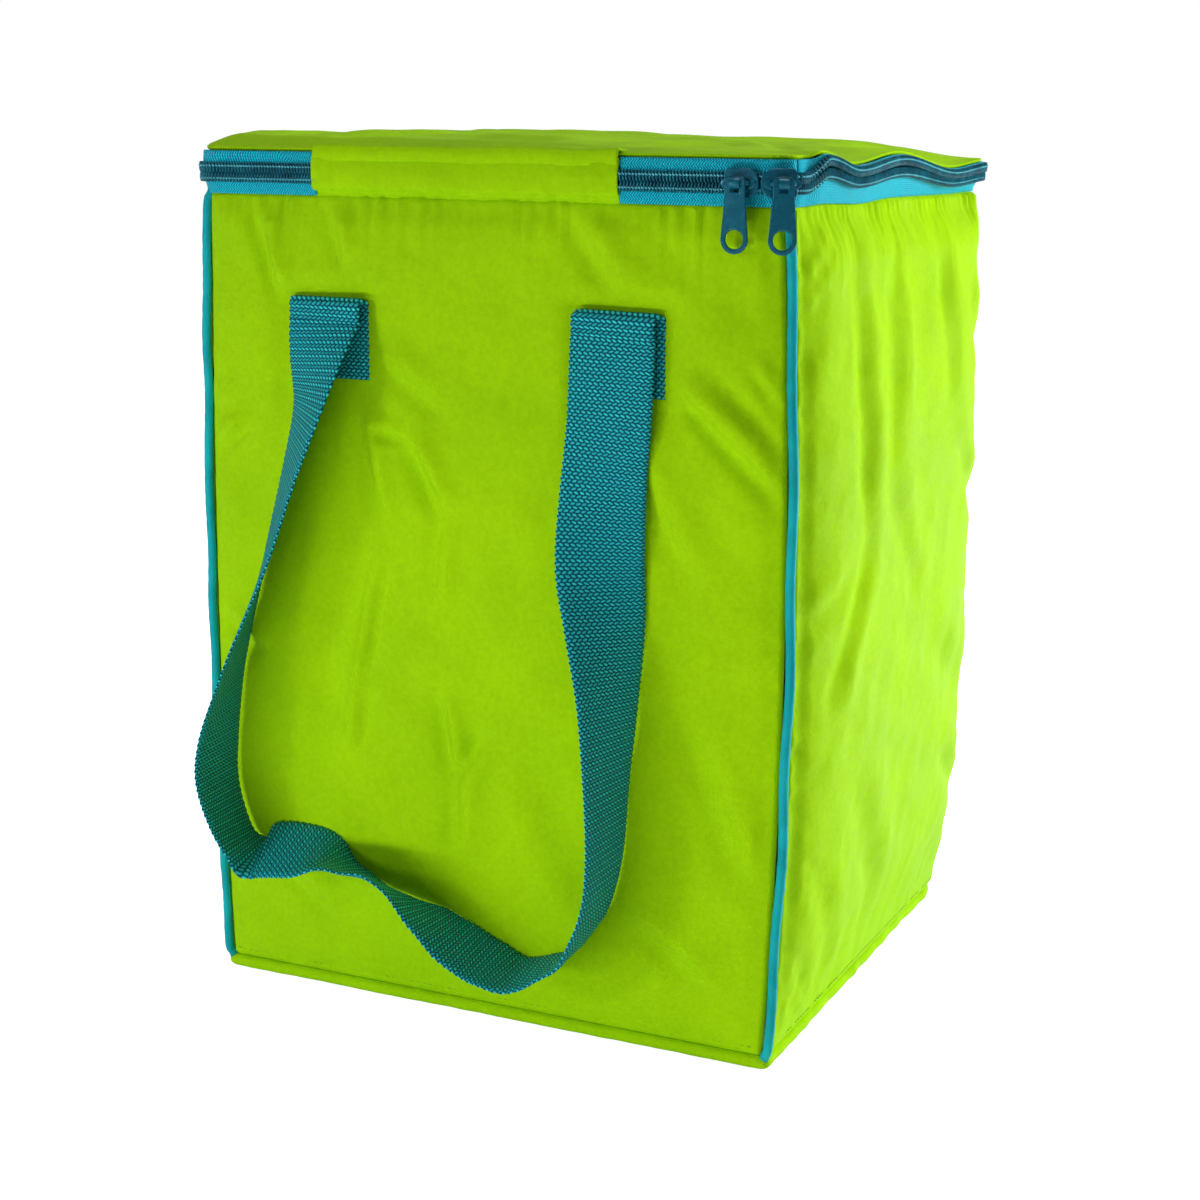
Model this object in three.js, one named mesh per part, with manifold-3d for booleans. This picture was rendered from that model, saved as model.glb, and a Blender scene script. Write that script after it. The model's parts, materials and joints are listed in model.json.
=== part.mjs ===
// Soft insulated cooler bag: a padded box with a zipped lid that folds forward on a short fabric strip.
// Millimetres, +Z up, +X to the right, -Y towards the front (the side with the hinge strip and both sliders).
// The origin is the centre of the underside.

import * as THREE from 'three';
import { mergeVertices } from 'three/addons/utils/BufferGeometryUtils.js';
import Module from 'manifold-3d';

// ---------------------------------------------------------------- driving dimensions

const WIDTH = 280;
const DEPTH = 260;
const SEAM_HEIGHT = 372; // top seam of the four walls
const BAND_HEIGHT = 17; // zip band and hinge strip above that seam
const LID_CROWN = 5; // rise of the padded lid in its middle
const LID_OVERHANG = 0.6; // the lid's edge stands this far outside the walls
const GAP = 0.4; // clearance between neighbouring layers

const SKIN = 1.6; // outer fabric with its seam allowance
const WALL_FOAM = 7;
const BASE_FOAM = 5;
const LINING = 0.8;
const BASE_TURN_UP = 6; // the base panel turns up this far round the foot
const BASE_CORNER = 6;
const PIPING_RADIUS = 2.1;
const PIPING_INSET = 1; // the cord's middle is this far inside both faces that it joins

const RIM_CORNER = 12; // plan radius of the zip at each corner, along the coil
const RIM_STEPS = 6; // straight pieces in each quarter turn
const COIL_DEPTH = 2.4;
const COIL_HALF_HEIGHT = 3.9;
const COIL_SPLIT = 1.4; // gap between the two halves, where a slider's neck runs
const TAPE = 0.8;
const TAPE_SPLIT = 2; // gap between the woven edges of the two tapes

const STRIP_LEFT = -80; // hinge strip, between the two ends of the zip
const STRIP_RIGHT = 65;
const STRIP_THICKNESS = 1.2;

const SLIDER_LENGTH = 14;
const SLIDER_HEIGHT = 12;
const SLIDER_PLATE = 1.2;
const SLIDER_CORNER = 3.4;
const SLIDER_MOUTH_OUTER = 1.6; // from the coil's centre line out to the front plate
const SLIDER_MOUTH_INNER = 5.6; // and in to the back plate, which leaves room to turn the corner
const SLIDER_1_X = 119.4;
const SLIDER_2_TURN = 30; // degrees round the front right corner at rest
const BRIDGE_SPAN = 8.4;
const BRIDGE_RADIUS = 0.9;
const BRIDGE_STAND_OFF = 3.2;

const PULL_LENGTH = 29;
const PULL_TOP_WIDTH = 8.8;
const PULL_END_RADIUS = 6;
const PULL_HOLE_RADIUS = 4.3;
const PULL_THICKNESS = 1.2;
const PULL_EYE_WIDTH = 4;

const WEBBING_WIDTH = 38;
const WEBBING = 1.6;
const HANDLE_LEFT_X = -74;
const HANDLE_RIGHT_X = 68;
const PATCH_BOTTOM = 291;
const PATCH_TOP = 322.5; // low enough for the raised loop to pass over
const FOLD_HEIGHT = 324.4; // the level that each handle loop swings about
const LEG_OUT = 5; // from the wall out to the middle of a hanging leg, at its fold

// ---------------------------------------------------------------- colours and finishes

const lime = new THREE.MeshStandardMaterial({ color: 0x9ee014, roughness: 0.7, metalness: 0 });
const teal = new THREE.MeshStandardMaterial({ color: 0x169ab4, roughness: 0.8, metalness: 0 });
const cyan = new THREE.MeshStandardMaterial({ color: 0x25b4cf, roughness: 0.75, metalness: 0 });
const coilBlue = new THREE.MeshStandardMaterial({ color: 0x1b7f92, roughness: 0.4, metalness: 0 });
const enamel = new THREE.MeshStandardMaterial({ color: 0x12607a, roughness: 0.3, metalness: 0.3 });
const whiteFoam = new THREE.MeshStandardMaterial({ color: 0xf0f0ec, roughness: 0.9, metalness: 0 });
const silverLining = new THREE.MeshStandardMaterial({ color: 0xc9ccd0, roughness: 0.35, metalness: 0.5 });

// ---------------------------------------------------------------- joining and cutting

const wasm = await Module();
wasm.setup();

function solidOf(geometry) {
  const bare = geometry.clone();
  bare.deleteAttribute('normal');
  bare.deleteAttribute('uv');
  const merged = mergeVertices(bare, 1e-4);
  const mesh = new wasm.Mesh({
    numProp: 3,
    vertProperties: new Float32Array(merged.attributes.position.array),
    triVerts: new Uint32Array(merged.index.array),
  });
  return new wasm.Manifold(mesh);
}

function geometryOf(solid) {
  const mesh = solid.getMesh();
  const geometry = new THREE.BufferGeometry();
  geometry.setAttribute('position', new THREE.BufferAttribute(new Float32Array(mesh.vertProperties), 3));
  geometry.setIndex(new THREE.BufferAttribute(new Uint32Array(mesh.triVerts), 1));
  return geometry;
}

function join(first, ...others) {
  return geometryOf(others.reduce((sum, other) => sum.add(solidOf(other)), solidOf(first)));
}

function cut(body, ...tools) {
  return geometryOf(tools.reduce((rest, tool) => rest.subtract(solidOf(tool)), solidOf(body)));
}

function common(first, second) {
  return geometryOf(solidOf(first).intersect(solidOf(second)));
}

// ---------------------------------------------------------------- small shape helpers

function block(low, high) {
  const size = high.map((value, i) => value - low[i]);
  const middle = high.map((value, i) => (value + low[i]) / 2);
  return new THREE.BoxGeometry(...size).translate(...middle);
}

function roundedOutline(halfX, halfY, radius) {
  const outline = new THREE.Shape();
  outline.absarc(halfX - radius, halfY - radius, radius, 0, Math.PI / 2);
  outline.absarc(radius - halfX, halfY - radius, radius, Math.PI / 2, Math.PI);
  outline.absarc(radius - halfX, radius - halfY, radius, Math.PI, 1.5 * Math.PI);
  outline.absarc(halfX - radius, radius - halfY, radius, 1.5 * Math.PI, 2 * Math.PI);
  return outline;
}

// A plan outline raised between two heights.
function upright(outline, bottom, top) {
  const settings = { depth: top - bottom, bevelEnabled: false, curveSegments: RIM_STEPS };
  return new THREE.ExtrudeGeometry(outline, settings).translate(0, 0, bottom);
}

function roundedPrism(halfX, halfY, radius, bottom, top) {
  return upright(roundedOutline(halfX, halfY, radius), bottom, top);
}

function rodAlongX(radius, length) {
  return new THREE.CylinderGeometry(radius, radius, length, 16).rotateZ(Math.PI / 2);
}

const bag = new THREE.Group();

function addPart(name, geometry, material, parent = bag) {
  const mesh = new THREE.Mesh(geometry, material);
  mesh.name = name;
  parent.add(mesh);
  return mesh;
}

// ---------------------------------------------------------------- heights and faces used by several parts

const halfWidth = WIDTH / 2;
const halfDepth = DEPTH / 2;
const rimHeight = SEAM_HEIGHT + BAND_HEIGHT;
const coilHeight = SEAM_HEIGHT + BAND_HEIGHT / 2 - 0.3; // where the two halves of the zip meet
const wallTop = SEAM_HEIGHT - 0.2;
const foamTop = SEAM_HEIGHT - 2;
const floorHeight = SKIN + GAP + BASE_FOAM + GAP;

// The zip's centre line is a rounded rectangle just outside the walls.
const rimHalfX = halfWidth + 2;
const rimHalfY = halfDepth + 2;
const cornerX = rimHalfX - RIM_CORNER;
const cornerY = rimHalfY - RIM_CORNER;

// ---------------------------------------------------------------- walls, base and piping

function buildWalls() {
  const pipingMiddleX = halfWidth - PIPING_INSET;
  const pipingMiddleY = PIPING_INSET - halfDepth;
  const frontEdge = pipingMiddleX - PIPING_RADIUS - GAP;
  const sideFront = pipingMiddleY + PIPING_RADIUS + GAP;
  const wallBottom = BASE_TURN_UP + GAP;
  const backInside = halfDepth - SKIN;

  const front = block([-frontEdge, -halfDepth, wallBottom], [frontEdge, SKIN - halfDepth, wallTop]);
  addPart('front_panel', front, lime);
  addPart('back_panel', block([-halfWidth, backInside, wallBottom], [halfWidth, halfDepth, wallTop]), lime);

  for (const [side, sign] of [['left', -1], ['right', 1]]) {
    const outside = sign * halfWidth;
    const inside = sign * (halfWidth - SKIN);
    const panel = block(
      [Math.min(outside, inside), sideFront, wallBottom],
      [Math.max(outside, inside), backInside - GAP, wallTop],
    );
    addPart(`${side}_panel`, panel, lime);

    const pipingLength = wallTop - wallBottom;
    const piping = new THREE.CylinderGeometry(PIPING_RADIUS, PIPING_RADIUS, pipingLength, 14);
    const cord = addPart(`${side}_piping`, piping.rotateX(Math.PI / 2), cyan);
    cord.position.set(sign * pipingMiddleX, pipingMiddleY, wallBottom + pipingLength / 2);
  }

  const tray = roundedPrism(halfWidth, halfDepth, BASE_CORNER, 0, BASE_TURN_UP);
  const pocket = roundedPrism(halfWidth - SKIN, halfDepth - SKIN, BASE_CORNER - SKIN, SKIN, BASE_TURN_UP + 1);
  addPart('base_panel', cut(tray, pocket), lime);
}

// ---------------------------------------------------------------- foam boards and lining

function buildInsulation() {
  const outerX = halfWidth - SKIN - GAP;
  const outerY = halfDepth - SKIN - GAP;
  const innerX = outerX - WALL_FOAM;
  const innerY = outerY - WALL_FOAM;
  const sideFront = PIPING_INSET - halfDepth + PIPING_RADIUS + GAP;

  const baseBoard = roundedPrism(outerX, outerY, BASE_CORNER - SKIN, SKIN + GAP, floorHeight - GAP);
  addPart('base_foam', baseBoard, whiteFoam);
  addPart('front_foam', block([-innerX, -outerY, floorHeight], [innerX, -innerY, foamTop]), whiteFoam);
  addPart('back_foam', block([-innerX, innerY, floorHeight], [innerX, outerY, foamTop]), whiteFoam);
  addPart('left_foam', block([-outerX, sideFront, floorHeight], [-innerX - GAP, outerY, foamTop]), whiteFoam);
  addPart('right_foam', block([innerX + GAP, sideFront, floorHeight], [outerX, outerY, foamTop]), whiteFoam);

  const tubX = innerX - GAP;
  const tubY = innerY - GAP;
  const tubCorner = 10;
  const tub = roundedPrism(tubX, tubY, tubCorner, floorHeight, foamTop);
  const hollow = roundedPrism(
    tubX - LINING, tubY - LINING, tubCorner - LINING, floorHeight + LINING, foamTop + 1,
  );
  addPart('body_lining', cut(tub, hollow), silverLining);

  // The bound seam that lies on top of the foam, just inside the zip.
  const bindingHeight = 3;
  const bindingBottom = foamTop + GAP;
  const bindingTop = bindingBottom + bindingHeight;
  const clearOfTape = 0.6;
  const ring = roundedPrism(
    outerX - clearOfTape, outerY - clearOfTape, BASE_CORNER, bindingBottom, bindingTop,
  );
  const ringHole = roundedPrism(tubX, tubY, tubCorner, bindingBottom - 1, bindingTop + 1);
  addPart('rim_binding', cut(ring, ringHole), cyan);
}

// ---------------------------------------------------------------- zip

// Plan points along the rim, `out` millimetres outside the zip's centre line, from the left end of
// the zip at the front, round the left, back and right sides. Turn angles are clockwise from the front.
function rimCorners() {
  return [
    { x: -cornerX, y: -cornerY, start: -90 },
    { x: -cornerX, y: cornerY, start: 180 },
    { x: cornerX, y: cornerY, start: 90 },
    { x: cornerX, y: -cornerY, start: 0 },
  ];
}

function cornerPoint(corner, out, turned) {
  const angle = THREE.MathUtils.degToRad(corner.start - turned);
  const radius = RIM_CORNER + out;
  return new THREE.Vector2(corner.x + radius * Math.cos(angle), corner.y + radius * Math.sin(angle));
}

function rimLine(out, firstCorner, firstTurn, lastTurn) {
  const line = [];
  rimCorners().forEach((corner, index) => {
    if (index < firstCorner) return;
    const begin = index === firstCorner ? firstTurn : 0;
    const end = index === 3 ? lastTurn : 90;
    const steps = Math.max(1, Math.round((RIM_STEPS * (end - begin)) / 90));
    for (let step = 0; step <= steps; step += 1) {
      line.push(cornerPoint(corner, out, begin + ((end - begin) * step) / steps));
    }
  });
  return line;
}

function bandOutline(inner, outer, route) {
  return new THREE.Shape([...route(outer), ...route(inner).reverse()]);
}

const clearOfStrip = GAP;
const onFront = (x, out) => new THREE.Vector2(x, -rimHalfY - out);
const leftEnd = (out) => onFront(STRIP_LEFT - clearOfStrip, out);
const rightEnd = (out) => onFront(STRIP_RIGHT + clearOfStrip, out);

// Slider 2 sits on the front right corner, so the tape that it holds closed stays with the body up to
// the far end of that slider. From there on the upper half goes with the lid.
const lidShare = 22; // degrees of that corner, counted from the right-hand side
const wholeRoute = (out) => [leftEnd(out), ...rimLine(out, 0, 0, 90), rightEnd(out)];
const lidRoute = (out) => [leftEnd(out), ...rimLine(out, 0, 0, lidShare)];
const closedRoute = (out) => [...rimLine(out, 3, lidShare + 2, 90), rightEnd(out)];

function buildZip() {
  const coilInner = -COIL_DEPTH / 2;
  const coilOuter = COIL_DEPTH / 2;
  const tapeOuter = coilInner - 0.2;
  const tapeInner = tapeOuter - TAPE;
  const lowerCoilTop = coilHeight - COIL_SPLIT / 2;
  const upperCoilBottom = coilHeight + COIL_SPLIT / 2;
  const lowerTapeTop = coilHeight - TAPE_SPLIT / 2;
  const upperTapeBottom = coilHeight + TAPE_SPLIT / 2;
  const tape = (route, bottom, top) => upright(bandOutline(tapeInner, tapeOuter, route), bottom, top);
  const coil = (route, bottom) =>
    upright(bandOutline(coilInner, coilOuter, route), bottom, bottom + COIL_HALF_HEIGHT);

  addPart('lower_zip_tape', tape(wholeRoute, SEAM_HEIGHT + 0.2, lowerTapeTop), cyan);
  addPart('lower_zip_coil', coil(wholeRoute, lowerCoilTop - COIL_HALF_HEIGHT), coilBlue);
  addPart('closed_zip_tape', tape(closedRoute, upperTapeBottom, rimHeight), cyan);
  addPart('closed_zip_coil', coil(closedRoute, upperCoilBottom), coilBlue);
  addPart('lid_zip_tape', tape(lidRoute, upperTapeBottom, rimHeight), cyan);
  addPart('lid_zip_coil', coil(lidRoute, upperCoilBottom), coilBlue);

  const stripBack = -rimHalfY - tapeInner;
  const strip = block(
    [STRIP_LEFT, stripBack - STRIP_THICKNESS, SEAM_HEIGHT + 0.2],
    [STRIP_RIGHT, stripBack, rimHeight],
  );
  addPart('hinge_strip', strip, lime);
}

// ---------------------------------------------------------------- lid

function crownHeight(x, y) {
  const across = 1 - Math.pow(Math.min(1, Math.abs(x) / halfWidth), 4);
  const along = 1 - Math.pow(Math.min(1, Math.abs(y) / halfDepth), 4);
  return LID_CROWN * across * along;
}

// A slab that fills the plan outline between two heights, both lifted by the crown where asked.
function crownedSlab(inset, bottom, top, crownBelow) {
  const halfX = halfWidth + LID_OVERHANG - inset;
  const halfY = halfDepth + LID_OVERHANG - inset;
  const corner = Math.max(4, RIM_CORNER - 1.4 - inset);
  const middle = (bottom + top) / 2;
  const margin = 20; // the slab is larger than the outline that trims it
  const cells = 14;
  const slab = new THREE.BoxGeometry(WIDTH + margin, DEPTH + margin, top - bottom, cells, cells, 1);
  slab.translate(0, 0, middle);
  const points = slab.attributes.position;
  for (let i = 0; i < points.count; i += 1) {
    const isTop = points.getZ(i) > middle;
    if (isTop || crownBelow) {
      points.setZ(i, points.getZ(i) + crownHeight(points.getX(i), points.getY(i)));
    }
  }
  return common(slab, roundedPrism(halfX, halfY, corner, bottom - 1, top + LID_CROWN + 1));
}

function buildLid() {
  const edgeThickness = 1.4;
  const panelBottom = rimHeight + LID_OVERHANG;
  const panelTop = panelBottom + edgeThickness;
  const liningInset = 8;
  const foamBottom = panelBottom - GAP - 4.8;
  const liningTop = foamBottom - GAP;

  addPart('lid_panel', crownedSlab(0, panelBottom, panelTop, true), lime);
  addPart('lid_foam', crownedSlab(liningInset, foamBottom, panelBottom - GAP, false), whiteFoam);
  const lining = roundedPrism(
    halfWidth - liningInset, halfDepth - liningInset, 5, liningTop - LINING, liningTop,
  );
  addPart('lid_lining', lining, silverLining);

  const bindingOuter = 2.4;
  const bindingInner = 6.5;
  const bindingTop = rimHeight + 0.2;
  const bindingBottom = bindingTop - 2;
  const ring = roundedPrism(
    halfWidth - bindingOuter, halfDepth - bindingOuter, 8, bindingBottom, bindingTop,
  );
  const hole = roundedPrism(
    halfWidth - bindingInner, halfDepth - bindingInner, 5, bindingBottom - 1, bindingTop + 1,
  );
  addPart('lid_binding', cut(ring, hole), cyan);
}

// ---------------------------------------------------------------- sliders and pulls
// Slider frame: x along the zip, -y outwards, z up, origin on the zip's centre line.

function sliderPlate(near, far, length, height) {
  const outline = roundedOutline(length / 2, height / 2, SLIDER_CORNER);
  const settings = { depth: far - near, bevelEnabled: false, curveSegments: 5 };
  return new THREE.ExtrudeGeometry(outline, settings).rotateX(Math.PI / 2).translate(0, far, 0);
}

function sliderBody(noseSide) {
  const plateFace = -SLIDER_MOUTH_OUTER - SLIDER_PLATE;
  const frontPlate = sliderPlate(plateFace, -SLIDER_MOUTH_OUTER, SLIDER_LENGTH, SLIDER_HEIGHT);
  const backFar = SLIDER_MOUTH_INNER + SLIDER_PLATE;
  const backPlate = sliderPlate(SLIDER_MOUTH_INNER, backFar, SLIDER_LENGTH - 2, SLIDER_HEIGHT - 1);

  const neckThickness = 0.7;
  const neckLength = 3;
  const neckX = noseSide * (SLIDER_LENGTH / 2 - 1 - neckLength);
  const neck = new THREE.BoxGeometry(
    neckLength, SLIDER_MOUTH_OUTER + SLIDER_MOUTH_INNER + SLIDER_PLATE, neckThickness,
  ).translate(neckX, (SLIDER_MOUTH_INNER - SLIDER_MOUTH_OUTER) / 2, 0);

  const barY = plateFace - BRIDGE_STAND_OFF;
  const bar = rodAlongX(BRIDGE_RADIUS, BRIDGE_SPAN).translate(0, barY, 0);
  const legLength = BRIDGE_STAND_OFF + BRIDGE_RADIUS + 0.4;
  const legs = [-1, 1].map((side) =>
    new THREE.BoxGeometry(1.4, legLength, 2 * BRIDGE_RADIUS)
      .translate((side * BRIDGE_SPAN) / 2, barY - BRIDGE_RADIUS + legLength / 2, 0));
  return join(frontPlate, backPlate, neck, bar, ...legs);
}

// The pull in its own frame: the bridge bar runs along x through the origin and the pull hangs down.
function pullBody() {
  const eyeInner = BRIDGE_RADIUS + 0.4;
  const eyeOuter = eyeInner + 1;
  const plateTop = -eyeOuter + 0.3;
  const endHeight = PULL_END_RADIUS - PULL_LENGTH;
  const lean = Math.asin((PULL_END_RADIUS - PULL_TOP_WIDTH / 2) / (plateTop - endHeight));
  const outline = new THREE.Shape();
  outline.absarc(0, endHeight, PULL_END_RADIUS, Math.PI - lean, 2 * Math.PI + lean);
  outline.lineTo(PULL_TOP_WIDTH / 2, plateTop);
  outline.lineTo(-PULL_TOP_WIDTH / 2, plateTop);
  const holePath = new THREE.Path();
  holePath.absarc(0, endHeight, PULL_HOLE_RADIUS, 0, 2 * Math.PI, true);
  outline.holes.push(holePath);
  const plate = new THREE.ExtrudeGeometry(outline, {
    depth: PULL_THICKNESS, bevelEnabled: false, curveSegments: 14,
  }).rotateX(Math.PI / 2).translate(0, PULL_THICKNESS / 2, 0);

  const eye = cut(rodAlongX(eyeOuter, PULL_EYE_WIDTH), rodAlongX(eyeInner, PULL_EYE_WIDTH + 2));
  return join(plate, eye);
}

function buildSlider(number, noseSide, place, turn) {
  const slider = new THREE.Group();
  slider.position.copy(place);
  slider.rotation.z = THREE.MathUtils.degToRad(turn);
  bag.add(slider);
  addPart(`slider_${number}`, sliderBody(noseSide), enamel, slider);
  const pull = addPart(`slider_${number}_pull`, pullBody(), enamel, slider);
  pull.position.y = -SLIDER_MOUTH_OUTER - SLIDER_PLATE - BRIDGE_STAND_OFF;
}

function buildSliders() {
  buildSlider(1, 1, new THREE.Vector3(SLIDER_1_X, -rimHalfY, coilHeight), 0);
  const turn = THREE.MathUtils.degToRad(SLIDER_2_TURN);
  const cornerPlace = new THREE.Vector3(
    cornerX + RIM_CORNER * Math.sin(turn), -cornerY - RIM_CORNER * Math.cos(turn), coilHeight,
  );
  buildSlider(2, -1, cornerPlace, SLIDER_2_TURN);
}

// ---------------------------------------------------------------- webbing handles

// A curve whose ribbon faces are set by a width direction at each of its points.
class RibbonPath extends THREE.CatmullRomCurve3 {
  constructor(stations) {
    super(stations.map((station) => new THREE.Vector3(...station.at)), false, 'centripetal');
    this.across = stations.map((station) => new THREE.Vector3(...station.across).normalize());
  }

  computeFrenetFrames(segments) {
    const frames = { tangents: [], normals: [], binormals: [] };
    for (let i = 0; i <= segments; i += 1) {
      const place = this.getUtoTmapping(i / segments) * (this.across.length - 1);
      const before = Math.min(Math.floor(place), this.across.length - 2);
      const tangent = this.getTangentAt(i / segments);
      const across = this.across[before].clone().lerp(this.across[before + 1], place - before);
      across.addScaledVector(tangent, -across.dot(tangent)).normalize();
      frames.tangents.push(tangent);
      frames.normals.push(across);
      frames.binormals.push(tangent.clone().cross(across));
    }
    return frames;
  }
}

function webbingLoop(stations) {
  const section = new THREE.Shape([
    new THREE.Vector2(-WEBBING_WIDTH / 2, -WEBBING / 2),
    new THREE.Vector2(WEBBING_WIDTH / 2, -WEBBING / 2),
    new THREE.Vector2(WEBBING_WIDTH / 2, WEBBING / 2),
    new THREE.Vector2(-WEBBING_WIDTH / 2, WEBBING / 2),
  ]);
  return new THREE.ExtrudeGeometry(section, { steps: 56, extrudePath: new RibbonPath(stations) });
}

// Both loops hang from their folds. Stations run from the left fold, down, across and up again;
// `out` is how far in front of the wall the middle of the webbing is.
const FRONT_LOOP = [
  { x: HANDLE_LEFT_X, out: LEG_OUT, z: FOLD_HEIGHT, across: [1, 0, 0] },
  { x: HANDLE_LEFT_X - 3, out: 5.5, z: 290, across: [1, 0, 0] },
  { x: HANDLE_LEFT_X - 14, out: 11, z: 235, across: [0.9, -0.45, 0] },
  { x: HANDLE_LEFT_X - 32, out: 19, z: 170, across: [0.55, -0.84, 0] },
  { x: HANDLE_LEFT_X - 46, out: 23, z: 115, across: [0.1, -1, 0] },
  { x: HANDLE_LEFT_X - 26, out: 24, z: 76, across: [0, -1, 0] },
  { x: -48, out: 24, z: 66, across: [0, -1, 0] },
  { x: -10, out: 24, z: 38, across: [0, -1, 0] },
  { x: 24, out: 23, z: 28, across: [0, -1, 0] },
  { x: 52, out: 21, z: 58, across: [-0.3, -0.95, 0] },
  { x: 64, out: 19, z: 110, across: [-0.6, -0.8, 0] },
  { x: HANDLE_RIGHT_X, out: 13, z: 190, across: [-0.87, -0.5, 0] },
  { x: HANDLE_RIGHT_X, out: 5.5, z: 285, across: [-1, 0, 0] },
  { x: HANDLE_RIGHT_X, out: LEG_OUT, z: FOLD_HEIGHT, across: [-1, 0, 0] },
];

const BACK_LOOP = [
  { x: HANDLE_LEFT_X, out: LEG_OUT, z: FOLD_HEIGHT, across: [1, 0, 0] },
  { x: HANDLE_LEFT_X, out: 5.5, z: 285, across: [1, 0, 0] },
  { x: HANDLE_LEFT_X, out: 14, z: 200, across: [0.8, -0.6, 0] },
  { x: HANDLE_LEFT_X + 2, out: 22, z: 110, across: [0.2, -1, 0] },
  { x: HANDLE_LEFT_X + 26, out: 23, z: 52, across: [0, -1, 0] },
  { x: (HANDLE_LEFT_X + HANDLE_RIGHT_X) / 2, out: 23, z: 32, across: [0, -1, 0] },
  { x: HANDLE_RIGHT_X - 26, out: 23, z: 52, across: [0, -1, 0] },
  { x: HANDLE_RIGHT_X - 2, out: 22, z: 110, across: [-0.2, -1, 0] },
  { x: HANDLE_RIGHT_X, out: 14, z: 200, across: [-0.8, -0.6, 0] },
  { x: HANDLE_RIGHT_X, out: 5.5, z: 285, across: [-1, 0, 0] },
  { x: HANDLE_RIGHT_X, out: LEG_OUT, z: FOLD_HEIGHT, across: [-1, 0, 0] },
];

function buildHandle(side, stations, turn) {
  const handle = new THREE.Group();
  handle.rotation.z = turn;
  bag.add(handle);

  const patchBack = -halfDepth - 0.5;
  const centres = [['left', HANDLE_LEFT_X], ['right', HANDLE_RIGHT_X]];
  for (const [end, x] of centres) {
    const patch = block(
      [x - WEBBING_WIDTH / 2, patchBack - WEBBING, PATCH_BOTTOM],
      [x + WEBBING_WIDTH / 2, patchBack, PATCH_TOP],
    );
    addPart(`${side}_handle_${end}_end`, patch, teal, handle);
  }

  const placed = stations.map(({ x, out, z, across }) => ({ at: [x, -halfDepth - out, z], across }));
  addPart(`${side}_handle_loop`, webbingLoop(placed), teal, handle);
}

// ---------------------------------------------------------------- the whole bag

buildWalls();
buildInsulation();
buildZip();
buildLid();
buildSliders();
buildHandle('front', FRONT_LOOP, 0);
buildHandle('back', BACK_LOOP, Math.PI);

export default bag;
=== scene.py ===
"""Soft insulated cooler bag: the visual model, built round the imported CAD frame.

Lengths in this script are millimetres, in the frame's axes: X to the right, Y to the back, Z up.
They become metres where a mesh is made. Outlines and heights are read from the CAD nodes' boxes.
"""

import json
import math

import bpy
import numpy as np
from mathutils import Matrix, Vector


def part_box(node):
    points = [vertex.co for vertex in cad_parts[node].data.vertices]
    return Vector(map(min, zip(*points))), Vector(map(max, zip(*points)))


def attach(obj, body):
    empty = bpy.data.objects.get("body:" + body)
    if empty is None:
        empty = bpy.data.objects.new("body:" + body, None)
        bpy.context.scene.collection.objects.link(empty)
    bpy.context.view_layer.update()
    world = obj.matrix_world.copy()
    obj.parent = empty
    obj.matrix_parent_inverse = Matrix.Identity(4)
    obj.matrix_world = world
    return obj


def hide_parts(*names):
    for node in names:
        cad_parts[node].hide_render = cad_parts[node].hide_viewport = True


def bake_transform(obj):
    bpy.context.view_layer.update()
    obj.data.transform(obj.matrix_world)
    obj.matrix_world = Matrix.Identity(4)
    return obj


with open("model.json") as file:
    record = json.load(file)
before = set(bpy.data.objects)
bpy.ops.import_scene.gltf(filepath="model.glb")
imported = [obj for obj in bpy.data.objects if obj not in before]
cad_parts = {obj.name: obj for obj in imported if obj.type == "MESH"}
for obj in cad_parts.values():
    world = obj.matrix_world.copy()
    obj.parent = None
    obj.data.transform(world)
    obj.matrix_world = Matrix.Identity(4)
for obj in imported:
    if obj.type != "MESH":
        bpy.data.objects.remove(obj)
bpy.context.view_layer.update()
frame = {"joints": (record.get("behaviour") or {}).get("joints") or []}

MM = 0.001


# ---------------------------------------------------------------- sizes read from the frame


def node_box(name):
    low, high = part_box(name)
    return np.array(low) / MM, np.array(high) / MM


front_low, front_high = node_box("front_panel")
HALF_WIDTH = node_box("right_panel")[1][0]
HALF_DEPTH = node_box("back_panel")[1][1]
WALL_BOTTOM, WALL_TOP = front_low[2], front_high[2]

strip_low, strip_high = node_box("hinge_strip")
SEAM = strip_low[2]
RIM = strip_high[2]
STRIP_LEFT, STRIP_RIGHT = strip_low[0], strip_high[0]

_, lower_coil_high = node_box("lower_zip_coil")
COIL_RADIUS = 1.2
COIL_HEIGHT = (lower_coil_high[2] + node_box("lid_zip_coil")[0][2]) / 2
ZIP_HALF_X = lower_coil_high[0] - COIL_RADIUS
ZIP_HALF_Y = lower_coil_high[1] - COIL_RADIUS
ZIP_CORNER = 12.0
ZIP_ENDS = (STRIP_LEFT - 0.4, STRIP_RIGHT + 0.4)

lid_low, lid_high = node_box("lid_panel")
PIPING_RADIUS = 2.1
PIPING_X = node_box("right_piping")[1][0] - PIPING_RADIUS
PIPING_Y = node_box("right_piping")[0][1] + PIPING_RADIUS

WEBBING_WIDTH = 38.0
WEBBING = 1.5
RIB_PITCH = 3.1


def joint_named(name):
    return next(joint for joint in frame["joints"] if joint["name"] == name)


fold_level = joint_named("front_handle_swing")["pos_m"][2] / MM
patch_low, patch_high = node_box("front_handle_left_end")
HANDLE_LEFT = (patch_low[0] + patch_high[0]) / 2
right_patch_low, right_patch_high = node_box("front_handle_right_end")
HANDLE_RIGHT = (right_patch_low[0] + right_patch_high[0]) / 2


# ---------------------------------------------------------------- small number helpers


def smooth(low, high, value):
    share = np.clip((np.asarray(value, float) - low) / (high - low), 0.0, 1.0)
    return share * share * (3 - 2 * share)


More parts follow.
